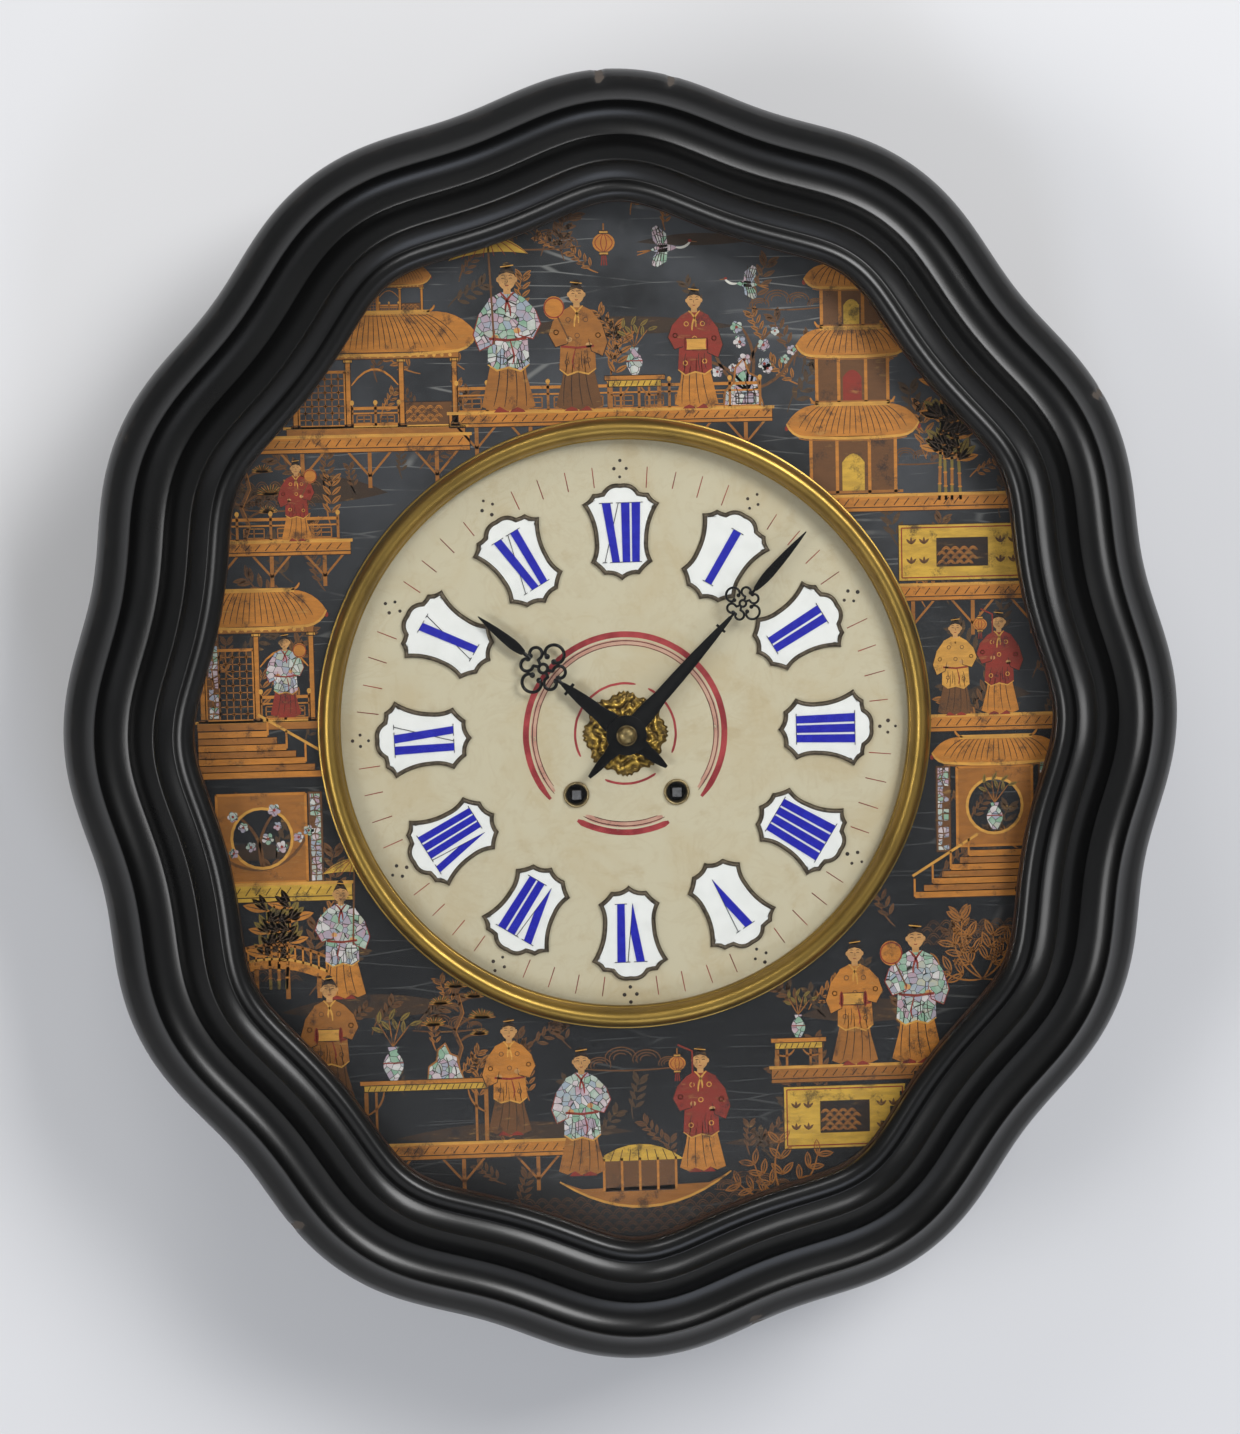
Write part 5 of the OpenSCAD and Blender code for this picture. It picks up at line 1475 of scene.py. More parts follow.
@dataclass
class Brush:
    """Draws shapes about its own origin and size, in layers over the panel."""

    room: Room
    paint: Sheet
    pearl: Sheet
    x: float = 0.0
    z: float = 0.0
    scale: float = 1.0
    flip: int = 1
    base: float = 0.09
    step: float = 0.022
    cell: float = 2.5
    stride: float = 4.0
    margin: float = 0.5
    rim: float = 0.45

    def at(self, x: float, z: float, scale: float = 1.0, flip: int = 1, base: float = 0.0) -> "Brush":
        """Gives a brush with its origin elsewhere.

        Args:
            x: Place across, in this brush's own measure.
            z: Place upwards.
            scale: Size against this brush.
            flip: Minus one to mirror.
            base: How much higher its layers lie.

        Returns:
            The new brush.
        """
        px, pz = self.spot((x, z))
        size, side = self.scale * scale, self.flip * flip
        return replace(self, x=px, z=pz, scale=size, flip=side, base=self.base + base)

    def spot(self, p: Point) -> Point:
        """Gives a point's place on the panel."""
        return (self.x + self.flip * self.scale * p[0], self.z + self.scale * p[1])

    def cut(self, shape: Sequence[Point]) -> list[list[Point]]:
        """Cuts a shape into small cells and keeps those inside the room."""
        bm = bmesh.new()
        bm.faces.new([bm.verts.new((x, 0, z)) for x, z in shape])
        for k, normal in ((0, (1, 0, 0)), (1, (0, 0, 1))):
            low, high = min(p[k] for p in shape), max(p[k] for p in shape)
            for i in range(math.ceil(low / self.cell), math.floor(high / self.cell) + 1):
                plane = (i * self.cell * normal[0], 0, i * self.cell * normal[2])
                geom = bm.verts[:] + bm.edges[:] + bm.faces[:]
                bmesh.ops.bisect_plane(bm, geom=geom, dist=0.0001, plane_co=plane, plane_no=normal)
        cells = []
        for f in bm.faces:
            c = f.calc_center_median()
            if self.room.holds((c.x, c.z)):
                cells.append([(v.co.x, v.co.z) for v in f.verts])
        bm.free()
        return cells

    def fill(self, shape: Sequence[Point], tint: Tint, layer: float = 0, pearl: bool = False) -> None:
        """Fills an outline.

        Args:
            shape: The outline.
            tint: Its colour.
            layer: Layer that it lies in.
            pearl: Whether it is cut from shell.
        """
        spots = [self.spot(p) for p in shape]
        whole = all(self.room.holds(p, self.margin) for p in spots)
        cells = [spots] if whole else self.cut(spots)
        (self.pearl if pearl else self.paint).add(cells, tint, self.base + self.step * layer)

    def line(self, path: Sequence[Point], width: float, tint: Tint, layer: float = 3,
             ends: float = 0.5) -> None:
        """Draws a stroke along a path.

        Args:
            path: Points along its middle.
            width: Its width in the middle.
            tint: Its colour.
            layer: Layer that it lies in.
            ends: Width of its ends against its middle.
        """
        fine = [Vector(path[0])]
        for p, q in zip(path, path[1:]):
            a, b = Vector(p), Vector(q)
            count = max(1, math.ceil((b - a).length * self.scale / self.stride))
            fine += [a.lerp(b, i / count) for i in range(1, count + 1)]
        left, right = [], []
        last = len(fine) - 1
        for i, p in enumerate(fine):
            along = fine[min(i + 1, last)] - fine[max(i - 1, 0)]
            if along.length < 1e-6:
                continue
            along.normalize()
            half = width / 2 * (ends + (1 - ends) * max(0.0, math.sin(math.pi * i / last)) ** 0.5)
            side = Vector((-along.y, along.x)) * half
            left.append(self.spot(p + side))
            right.append(self.spot(p - side))
        cells = []
        for i in range(len(left) - 1):
            mid = ((left[i][0] + right[i + 1][0]) / 2, (left[i][1] + right[i + 1][1]) / 2)
            if self.room.holds(mid):
                cells.append([left[i], left[i + 1], right[i + 1], right[i]])
        self.paint.add(cells, tint, self.base + self.step * layer)

    def arc(self, start: Point, end: Point, rise: float, width: float, tint: Tint, layer: float = 3) -> None:
        """Draws a bowed stroke."""
        self.line(arch(start, end, rise, 7), width, tint, layer)

    def bar(self, start: Point, end: Point, width: float, tint: Tint, layer: float) -> None:
        """Draws a straight stroke of even width."""
        self.line([start, end], width, tint, layer, 1.0)

    def oval(self, x: float, z: float, rx: float, rz: float, tint: Tint, layer: float = 1,
             pearl: bool = False) -> None:
        """Fills an oval, with fewer corners if it is small."""
        count = 10 if max(rx, rz) * self.scale < 2 else 18
        self.fill(ellipse(x, z, rx, rz, count), tint, layer, pearl)

    def hoop(self, x: float, z: float, r: float, width: float, tint: Tint, layer: float = 2) -> None:
        """Draws a ring."""
        ring = ellipse(x, z, r, r, 24)
        self.line(ring + ring[:1], width, tint, layer, 1.0)

    def box(self, x: float, z: float, w: float, h: float, tint: Tint, layer: float = 0) -> None:
        """Fills an upright rectangle, x and z at its lower left, with a darker outline."""
        corners = [(x, z), (x + w, z), (x + w, z + h), (x, z + h)]
        self.fill(corners, tint, layer)
        self.line(corners + corners[:1], self.rim, Tint.LINE, layer + 1, 1.0)

    def border(self, x: float, z: float, w: float, h: float, width: float, tint: Tint, layer: float) -> None:
        """Draws the four sides of an upright rectangle."""
        for level in (z, z + h):
            self.bar((x, level), (x + w, level), width, tint, layer)
        for side in (x, x + w):
            self.bar((side, z), (side, z + h), width, tint, layer)

    def leaf(self, x: float, z: float, length: float, angle: float, tint: Tint,
             open_leaf: bool = False) -> None:
        """Draws a pointed leaf, filled or in outline, with its vein."""
        belly = length * 0.17
        outline = bow((0, 0), (length, 0), belly, 6) + bow((length, 0), (0, 0), belly, 6)
        outline = turned(outline, angle, (x, z))
        if open_leaf:
            self.line(outline + outline[:1], 0.75, tint, 2, 1.0)
        else:
            self.fill(outline, tint, 1)
        vein = turned([(0, 0), (length * 0.85, 0)], angle, (x, z))
        self.line(vein, 0.5, tint if open_leaf else Tint.DUSK, 2)


@dataclass
class Motifs:
    """Traditional garden, building and figure ornament, drawn with a brush.

    The numbers in it are places and widths in a drawing: millimetres, or shares of the motif's size.
    """

    rng: random.Random = field(default_factory=lambda: random.Random(7))

    def roof(self, b: Brush, w: float, h: float) -> None:
        """Draws a swept roof, w wide at the eaves, standing on the brush's origin."""
        tip, low, top = (w * 0.58, h * 0.42), (w * 0.42, 0.0), (w * 0.3, h)
        far_tip, far_low, far_top = [(-x, z) for x, z in (tip, low, top)]
        shape = bow(far_tip, far_low, -w * 0.03, 4) + bow(far_low, low, -w * 0.015, 6)
        shape += bow(low, tip, -w * 0.03, 4) + arch(tip, top, -w * 0.045, 6)
        b.fill(shape + bow(far_top, far_tip, -w * 0.045, 6), Tint.GOLD, 1)
        count = max(7, int(w / 3.2))
        for i in range(count + 1):
            f = i / count * 2 - 1
            foot = (f * w * 0.47, h * (0.09 + 0.2 * abs(f) ** 5))
            b.arc((f * top[0] * 0.97, h * 0.95), foot, f * w * 0.02, 0.4, Tint.LINE, 2)
        eave = bow(far_tip, far_low, -w * 0.03, 4) + bow(far_low, low, -w * 0.015, 8)
        eave += arch(low, tip, -w * 0.03, 4)
        b.line(eave, 1.5, Tint.BRIGHT)
        b.line([(x, z - 1.2) for x, z in eave[3:-3]], 0.5, Tint.OCHRE, 3, 1.0)
        b.bar((-top[0] - 1.5, h), (top[0] + 1.5, h), 2.0, Tint.BRIGHT, 3)
        for side in (-1, 1):
            b.arc((side * top[0], h), (side * (top[0] + 4), h + 3.4), -side * 0.8, 1.1, Tint.GOLD, 3)
            b.oval(side * tip[0], tip[1] - 2.2, 0.9, 1.3, Tint.RED, 2)

    def column(self, b: Brush, x: float, h: float, w: float) -> None:
        """Draws a column with its foot and head."""
        b.box(x - w / 2, 0, w, h, Tint.GOLD, 1)
        for level, tint in ((0, Tint.OCHRE), (h - w * 0.6, Tint.BRIGHT)):
            b.box(x - w * 0.85, level, w * 1.7, w * 0.6, tint, 2)

    def rail(self, b: Brush, w: float, h: float, bays: int) -> None:
        """Draws a fretted railing."""
        for level, width in ((h, 1.5), (h * 0.72, 0.8), (0.8, 1.2)):
            b.bar((0, level), (w, level), width, Tint.GOLD, 2)
        for i in range(bays + 1):
            x = w * i / bays
            b.bar((x, 0), (x, h + 2.2), 1.3, Tint.OCHRE, 2)
            b.oval(x, h + 2.8, 1.1, 1.3, Tint.BRIGHT, 3)
            if i < bays:
                s = w / bays
                b.border(x + s * 0.2, h * 0.17, s * 0.6, h * 0.42, 0.6, Tint.OCHRE, 1)
                b.bar((x + s * 0.2, h * 0.38), (x + s * 0.8, h * 0.38), 0.5, Tint.OCHRE, 1)
                b.bar((x + s * 0.5, h * 0.17), (x + s * 0.5, h * 0.59), 0.5, Tint.OCHRE, 1)

    def lattice(self, b: Brush, w: float, h: float) -> None:
        """Draws a window lattice of crossing bars and small squares."""
        pitch = 3.6
        b.border(0, 0, w, h, 1.4, Tint.GOLD, 2)
        nx, nz = max(2, round(w / pitch)), max(2, round(h / pitch))
        for i in range(1, nx):
            b.bar((w * i / nx, 0), (w * i / nx, h), 0.5, Tint.OCHRE, 1)
        for k in range(1, nz):
            b.bar((0, h * k / nz), (w, h * k / nz), 0.5, Tint.OCHRE, 1)
        for i in range(1, nx):
            for k in range(1, nz):
                if (i + k) % 2:
                    x, z, s = w * i / nx, h * k / nz, pitch * 0.3
                    b.fill([(x - s, z), (x, z - s), (x + s, z), (x, z + s)], Tint.GOLD, 1)

    def scales(self, b: Brush, w: float, h: float, pitch: float, tint: Tint = Tint.BROWN) -> None:
        """Draws rows of overlapping arcs, as for water or a screen."""
        rows, count = int(h / (pitch * 0.5)), int(w / pitch)
        for k in range(rows):
            for i in range(count):
                x, z = (i + (k % 2) / 2) * pitch, k * pitch * 0.5
                for r in (0.5, 0.3):
                    b.arc((x - pitch * r, z), (x + pitch * r, z), pitch * r * 0.85, 0.42, tint, 1)

    def shell_strip(self, b: Brush, w: float, h: float) -> None:
        """Fills a strip with broken chips of shell."""
        b.box(-0.8, -0.8, w + 1.6, h + 1.6, Tint.BROWN, 0)
        tints = (Tint.GREEN, Tint.MILK, Tint.BLUE, Tint.ROSE, Tint.MILK, Tint.GREEN)
        across = max(2, round(w / 3.0))
        rows = max(2, round(h / 3.0))
        knots = {}
        for i in range(across + 1):
            for k in range(rows + 1):
                sway = 0.9 if 0 < i < across else 0.0
                rise = 0.9 if 0 < k < rows else 0.0
                x = w * i / across + self.rng.uniform(-sway, sway)
                knots[i, k] = (x, h * k / rows + self.rng.uniform(-rise, rise))
        for i in range(across):
            for k in range(rows):
                if self.rng.random() < 0.12:
                    continue
                quad = [knots[i, k], knots[i + 1, k], knots[i + 1, k + 1], knots[i, k + 1]]
                cx, cz = sum(p[0] for p in quad) / 4, sum(p[1] for p in quad) / 4
                share = self.rng.uniform(0.72, 0.86)
                chip = [(cx + (x - cx) * share, cz + (z - cz) * share) for x, z in quad]
                b.fill(chip, self.rng.choice(tints), 3, True)

    def moon_gate(self, b: Brush, w: float, h: float, r: float) -> None:
        """Draws a wall with a round opening, its middle at w / 2, h / 2."""
        cx, cz = w / 2, h / 2
        steps = 32
        ring, wall = [], []
        for i in range(steps + 1):
            c, s = math.cos(math.tau * i / steps), math.sin(math.tau * i / steps)
            far = min(cx / abs(c) if abs(c) > 1e-6 else 1e9, cz / abs(s) if abs(s) > 1e-6 else 1e9)
            ring.append((cx + r * c, cz + r * s))
            wall.append((cx + far * c, cz + far * s))
        for i in range(steps):
            b.fill([ring[i], ring[i + 1], wall[i + 1], wall[i]], Tint.OCHRE, 0)
        b.hoop(cx, cz, r, 1.4, Tint.BRIGHT, 2)
        b.border(0, 0, w, h, 1.3, Tint.GOLD, 2)

    def pavilion(self, b: Brush, w: float, h: float, bays: int, roof: float) -> None:
        """Draws an open hall on a plinth, with its roof and screens between its columns."""
        b.box(-w * 0.56, -4, w * 1.12, 4, Tint.OCHRE, 1)
        b.bar((-w * 0.58, 0.3), (w * 0.58, 0.3), 1.3, Tint.BRIGHT, 2)
        s = w / bays
        for i in range(bays):
            x = -w / 2 + i * s
            cell = b.at(x + 1.6, 0.8)
            if i % 3 == 0:
                self.lattice(cell, s - 3.2, h * 0.8)
            elif i % 3 == 1:
                b.arc((x + 1.6, h * 0.62), (x + s - 1.6, h * 0.62), s * 0.3, 1.0, Tint.GOLD, 2)
                self.rail(cell, s - 3.2, h * 0.26, 2)
            else:
                cell.box(0, 0, s - 3.2, h * 0.34, Tint.BROWN, 0)
                self.scales(cell.at(2, 1.5), s - 6, h * 0.3, 4.2, Tint.GOLD)
        for i in range(bays + 1):
            self.column(b, -w / 2 + i * s, h, 2.6)
        b.box(-w * 0.53, h, w * 1.06, 3.2, Tint.OCHRE, 2)
        for i in range(int(w / 4)):
            b.oval(-w / 2 + 2 + 4 * i, h + 1.6, 0.9, 0.9, Tint.BRIGHT, 4)
        self.roof(b.at(0, h + 3.2, base=0.02), w * 1.12, roof)

    def pagoda(self, b: Brush, w: float, tiers: int) -> None:
        """Draws a tower of narrowing storeys with a spire."""
        z = 0.0
        for i in range(tiers):
            t = w * 0.84**i
            h = t * 0.46
            b.box(-t * 0.34, z, t * 0.68, h, Tint.BROWN, 0)
            for x in (-0.34, -0.13, 0.13, 0.34):
                b.bar((x * t, z), (x * t, z + h), 1.6, Tint.GOLD, 2)
            side, crown = t * 0.09, z + h * 0.55
            door = [(-side, z + 1), *arch((-side, crown), (side, crown), t * 0.07, 6), (side, z + 1)]
            b.fill(door, Tint.RED if i % 2 else Tint.YELLOW, 1)
            b.bar((-t * 0.4, z + 1), (t * 0.4, z + 1), 1.4, Tint.OCHRE, 2)
            self.roof(b.at(0, z + h), t * 0.92, t * 0.26)
            z += h + t * 0.26
        b.line([(0, z - 1), (0, z + w * 0.34)], 1.5, Tint.GOLD, 2, 0.3)
        for i in range(4):
            b.oval(0, z + 2 + i * w * 0.06, 2.6 - 0.45 * i, 0.9, Tint.BRIGHT, 3)

    def steps(self, b: Brush, w: float, count: int) -> None:
        """Draws a flight of steps that climbs to the right."""
        rise, run = 3.4, 4.6
        for i in range(count):
            b.box(i * run, i * rise, w - i * run, rise, Tint.OCHRE if i % 2 else Tint.GOLD, 1)
        b.bar((-1, rise + 8), (count * run, count * rise + 8), 1.3, Tint.BRIGHT, 4)
        for i in range(0, count + 1, 2):
            b.bar((i * run, i * rise + 1), (i * run, i * rise + 10), 1.0, Tint.GOLD, 4)

    def terrace(self, b: Brush, w: float, h: float, struts: int = 0, tint: Tint = Tint.GOLD) -> None:
        """Draws a long hatched beam from the brush's origin, with struts under it."""
        b.box(0, 0, w, h, tint, 1)
        b.bar((-1, h), (w + 1, h), 1.5, Tint.BRIGHT, 3)
        b.bar((0, h * 0.26), (w, h * 0.26), 0.5, Tint.LINE, 2)
        for i in range(int(w / 5)):
            b.bar((5 * i + 1, h * 0.38), (5 * i + 3.6, h * 0.8), 0.45, Tint.LINE, 2)
        for i in range(struts):
            x = w * (i + 0.5) / struts
            b.bar((x, 0), (x, -h * 2.2), 1.9, Tint.OCHRE, 1)
            for side in (-1, 1):
                b.bar((x, -h * 1.5), (x + side * h * 1.3, 0), 1.1, Tint.OCHRE, 1)

    def bridge(self, b: Brush, w: float, rise: float) -> None:
        """Draws an arched bridge with its railing and piers."""
        deck = arch((0, 0), (w, 0), rise, 16)
        for level, width, tint in ((0, 5.0, Tint.GOLD), (2.4, 1.2, Tint.BRIGHT), (9.6, 1.4, Tint.OCHRE)):
            b.line([(x, z + level) for x, z in deck], width, tint, 1 + (level > 0), 1.0)
        for i, (x, z) in enumerate(deck):
            b.bar((x, z), (x, z + 10), 0.9, Tint.GOLD, 2)
            if i % 4 == 2:
                b.bar((x, z - 2), (x, -rise), 2.2, Tint.OCHRE, 1)

    def thicket(self, b: Brush, count: int) -> None:
        """Scatters dim sprigs all over the panel, behind everything else."""
        for _ in range(count):
            a, far = self.rng.uniform(0, math.tau), self.rng.uniform(0.05, 0.95)
            start = b.at((156 + 62 * far) * math.cos(a), (156 + 104 * far) * math.sin(a))
            turn, size = self.rng.uniform(30, 150), self.rng.uniform(13, 26)
            tint = self.rng.choice((Tint.OCHRE, Tint.BROWN, Tint.BROWN, Tint.DUSK))
            c, s = heading(turn)
            start.arc((0, 0), (size * c, size * s), size * 0.1, 0.8, tint, 0)
            for f in (0.3, 0.5, 0.7, 0.9, 1.0):
                for side in (-46, 42):
                    start.leaf(size * f * c, size * f * s, size * 0.3, turn + side, tint)

    def pine(self, b: Brush, h: float) -> None:
        """Draws a leaning pine with fans of needles."""
        trunk = sized([(0, 0), (0.06, 0.2), (-0.03, 0.42), (0.08, 0.66), (0.02, 0.92)], h)
        b.line(trunk, h * 0.055, Tint.BROWN, 1, 0.6)
        b.line([(x + 0.8, z) for x, z in trunk], 0.5, Tint.OCHRE, 2)
        pads = ((-0.3, 0.5, 0.2), (0.34, 0.58, 0.22), (-0.2, 0.78, 0.19), (0.24, 0.86, 0.17), (0.0, 1.0, 0.2),
                (0.3, 0.36, 0.15))
        for px, pz, r in pads:
            x, z, r = px * h, pz * h, r * h
            b.arc((h * 0.03, z - h * 0.1), (x, z), px * h * 0.15, 1.2, Tint.BROWN, 1)
            b.fill(arch((x - r * 0.8, z), (x + r * 0.8, z), r * 0.5, 8), Tint.WASH, 1)
            for i in range(15):
                a = math.radians(8 + 164 * i / 14)
                reach = r * (0.75 + 0.2 * math.sin(a) + self.rng.uniform(-0.08, 0.08))
                for part in (1.0, 0.62):
                    tint = Tint.GOLD if (i + int(part)) % 2 else Tint.LEAF
                    tip = (x + reach * part * math.cos(a), z + reach * part * 0.62 * math.sin(a))
                    b.line([(x, z), tip], 0.55, tint, 2)

    def bamboo(self, b: Brush, h: float, count: int) -> None:
        """Draws bamboo canes with their leaves."""
        for i in range(count):
            x = i * 4.0 + self.rng.uniform(-1, 1)
            lean = self.rng.uniform(-0.08, 0.1)
            top = h * self.rng.uniform(0.75, 1.0)
            levels = [top * k / 7 for k in range(8)]
            joints = [(x + lean * z, z) for z in levels]
            for k, (p, q) in enumerate(zip(joints, joints[1:])):
                b.line([p, q], 1.5, Tint.OCHRE if k % 2 else Tint.LEAF, 1, 0.9)
                b.oval(*q, 1.1, 0.5, Tint.GOLD, 2)
                if k > 1:
                    side = 1 if (k + i) % 2 else -1
                    for turn, tint in ((24, Tint.LEAF), (50, Tint.LEAF), (76, Tint.GOLD)):
                        b.leaf(*q, self.rng.uniform(9, 13), 90 - side * turn, tint)

    def shrub(self, b: Brush, r: float, leaves: int) -> None:
        """Draws a plant of open leaves on bent stalks."""
        for i in range(leaves):
            a = 20 + 140 * i / max(1, leaves - 1) + self.rng.uniform(-6, 6)
            c, s = heading(a)
            far = r * self.rng.uniform(0.6, 1.0)
            b.arc((0, 0), (far * c, far * s), far * 0.12 * (1 if a > 90 else -1), 0.9, Tint.OCHRE, 1)
            for f in (0.45, 0.72, 1.0):
                for side in (-48, 40):
                    b.leaf(far * f * c, far * f * s, r * 0.26, a + side, Tint.OCHRE, True)

    def blossom(self, b: Brush, size: float, branches: int) -> None:
        """Draws a flowering branch with shell petals."""
        for i in range(branches):
            c, s = heading(40 + 110 * i / max(1, branches - 1))
            end = (size * c, size * s)
            b.arc((0, 0), end, size * 0.14 * (1 if i % 2 else -1), 1.5, Tint.BROWN, 1)
            for f in (0.5, 0.78, 1.0):
                x = end[0] * f + self.rng.uniform(-2.5, 2.5)
                z = end[1] * f + self.rng.uniform(-2, 2)
                r = self.rng.uniform(1.6, 2.5)
                petal = (Tint.ROSE, Tint.MILK, Tint.GREEN)[i % 3]
                for k in range(5):
                    t = math.tau * k / 5 + i
                    at = (x + r * 0.8 * math.cos(t), z + r * 0.8 * math.sin(t))
                    b.oval(*at, r * 0.55, r * 0.55, petal, 3, True)
                b.oval(x, z, r * 0.32, r * 0.32, Tint.RED, 5)

    def rock(self, b: Brush, w: float, h: float) -> None:
        """Draws a rugged garden stone of shell."""
        corners = ((-0.5, 0), (-0.46, 0.35), (-0.25, 0.5), (-0.2, 0.82), (0, 1), (0.14, 0.7), (0.33, 0.62),
                   (0.4, 0.25), (0.5, 0))
        outline = [(w * x, h * z) for x, z in corners]
        b.fill(outline, Tint.MILK, 1, True)
        b.line(outline, 1.0, Tint.OCHRE, 5)
        for f in (-0.2, 0.02, 0.22):
            b.arc((w * f, h * (0.62 - abs(f))), (w * (f + 0.06), h * 0.06), w * 0.04, 0.6, Tint.LINE, 4)

    def cloud(self, b: Brush, w: float) -> None:
        """Draws a cloud of curling lines."""
        for x, z, r in ((-0.34, 0.0, 0.12), (-0.12, 0.07, 0.16), (0.14, 0.05, 0.14), (0.36, 0.0, 0.1)):
            for k in range(3):
                reach = w * r * (1 - 0.28 * k)
                rays = [heading(a) for a in range(-20 + 30 * k, 220, 20)]
                curl = [(w * x + reach * c, w * z + reach * 0.7 * s) for c, s in rays]
                b.line(curl, 0.6, Tint.BROWN, 1)
        b.arc((-w * 0.5, -w * 0.03), (w * 0.5, -w * 0.03), -w * 0.03, 0.8, Tint.BROWN, 1)

    def crane(self, b: Brush, s: float) -> None:
        """Draws a flying crane."""
        body = bow((-9, 0), (8, 1.5), 2.6, 6) + bow((8, 1.5), (-9, 0), 2.2, 6)
        b.fill(sized(body, s), Tint.MILK, 2, True)
        for side, span, tint in ((1, 1.0, Tint.MILK), (-1, 0.7, Tint.GREEN)):
            wing = [(-3, 1), (2, 2), (1, 10 * side), (-5, 15 * side), (-8, 13 * side), (-7, 6 * side)]
            b.fill([(x * s, z * s * span) for x, z in wing], tint, 2, True)
            for k in range(4):
                tip = ((-8 + k * 2.2) * s, (14 + k * 0.3) * s * side * span)
                b.line([((-3 + k) * s, 1.6 * s), tip], 0.45, Tint.LINE, 5)
        b.arc((7 * s, 1.5 * s), (16 * s, 5 * s), -1.6 * s, 1.2, Tint.MILK, 3)
        b.line([(15.5 * s, 5 * s), (20 * s, 4.6 * s)], 0.9, Tint.OCHRE, 3, 0.3)
        b.oval(15.6 * s, 5.4 * s, 1.2 * s, 1.0 * s, Tint.RED, 4)
        for k in (-1, 1):
            b.line([(-8 * s, 0), (-17 * s, (-2 + k) * s)], 0.7, Tint.OCHRE, 2)

    def lantern(self, b: Brush, r: float) -> None:
        """Draws a hanging lantern about its middle."""
        b.oval(0, 0, r, r * 0.86, Tint.GOLD, 1)
        for k in (-0.6, -0.2, 0.2, 0.6):
            b.arc((0, r * 0.84), (0, -r * 0.84), -k * r * 1.3, 0.45, Tint.RED, 2)
        for z in (-1, 1):
            b.box(-r * 0.4, z * r * 0.95 - 0.7, r * 0.8, 1.4, Tint.BRIGHT, 2)
        b.bar((0, r), (0, r + 4), 0.7, Tint.OCHRE, 2)
        for k in (-1, 0, 1):
            b.bar((k * 0.8, -r), (k * 1.3, -r - 5.5), 0.6, Tint.RED, 2)

    def table(self, b: Brush, w: float, h: float) -> None:
        """Draws a low table with bracketed legs."""
        b.box(-w / 2, h - 2.4, w, 2.4, Tint.GOLD, 2)
        b.box(-w / 2 + 2, h - 5.6, w - 4, 3.2, Tint.YELLOW, 1)
        for i in range(int((w - 6) / 3)):
            x = -w / 2 + 4 + 3 * i
            b.bar((x, h - 5.2), (x + 1.2, h - 2.8), 0.4, Tint.LINE, 3)
        for side in (-1, 1):
            for inset, width in ((3, 2.0), (8, 1.2)):
                x = side * (w / 2 - inset)
                b.bar((x, h - 5.6), (x, 0), width, Tint.OCHRE, 1)
            low, high = (side * (w / 2 - 3), h * 0.45), (side * (w / 2 - 12), h - 5.6)
            b.arc(low, high, side * 2.2, 1.0, Tint.OCHRE, 1)

    def vase(self, b: Brush, h: float) -> None:
        """Draws a vase of shell with a spray of leaves."""
        side = [(1.4, 0), (2.2, 0.1), (4.0, 0.36), (4.2, 0.52), (3.0, 0.72), (1.5, 0.84), (2.2, 1.0)]
        right = [(x * h / 14, z * h) for x, z in side]
        b.fill(right + [(-x, z) for x, z in reversed(right)], Tint.GREEN, 2, True)
        waist, level = right[3]
        b.bar((-waist, level), (waist, level), 0.6, Tint.RED, 5)
        for a in (52, 74, 97, 120):
            c, s = heading(a)
            b.line([(0, h), (h * 0.8 * c, h + h * 0.8 * s)], 0.6, Tint.OCHRE, 2)
            for f, turn in ((0.5, 35), (0.8, -35)):
                b.leaf(h * f * c, h + h * f * s, h * 0.4, a + turn, Tint.LEAF)

    def boat(self, b: Brush, s: float) -> None:
        """Draws a covered boat on the water."""
        keel = arch((-30, 8), (32, 10), -11, 12)
        b.fill(sized([*keel, (24, 6), (-22, 5)], s), Tint.OCHRE, 1)
        b.line(sized(keel, s), 1.3, Tint.BRIGHT)
        b.box(-14 * s, 4 * s, 26 * s, 12 * s, Tint.BROWN, 1)
        for k in range(5):
            b.bar(((-14 + 6.5 * k) * s, 4 * s), ((-14 + 6.5 * k) * s, 16 * s), 1.2, Tint.GOLD, 3)
        b.fill(sized(arch((-17, 15), (15, 15), 6, 8), s), Tint.YELLOW, 3)
        for k in range(9):
            b.bar(((-15 + 3.4 * k) * s, 15 * s), ((-13 + 2.9 * k) * s, 19 * s), 0.4, Tint.LINE, 4)

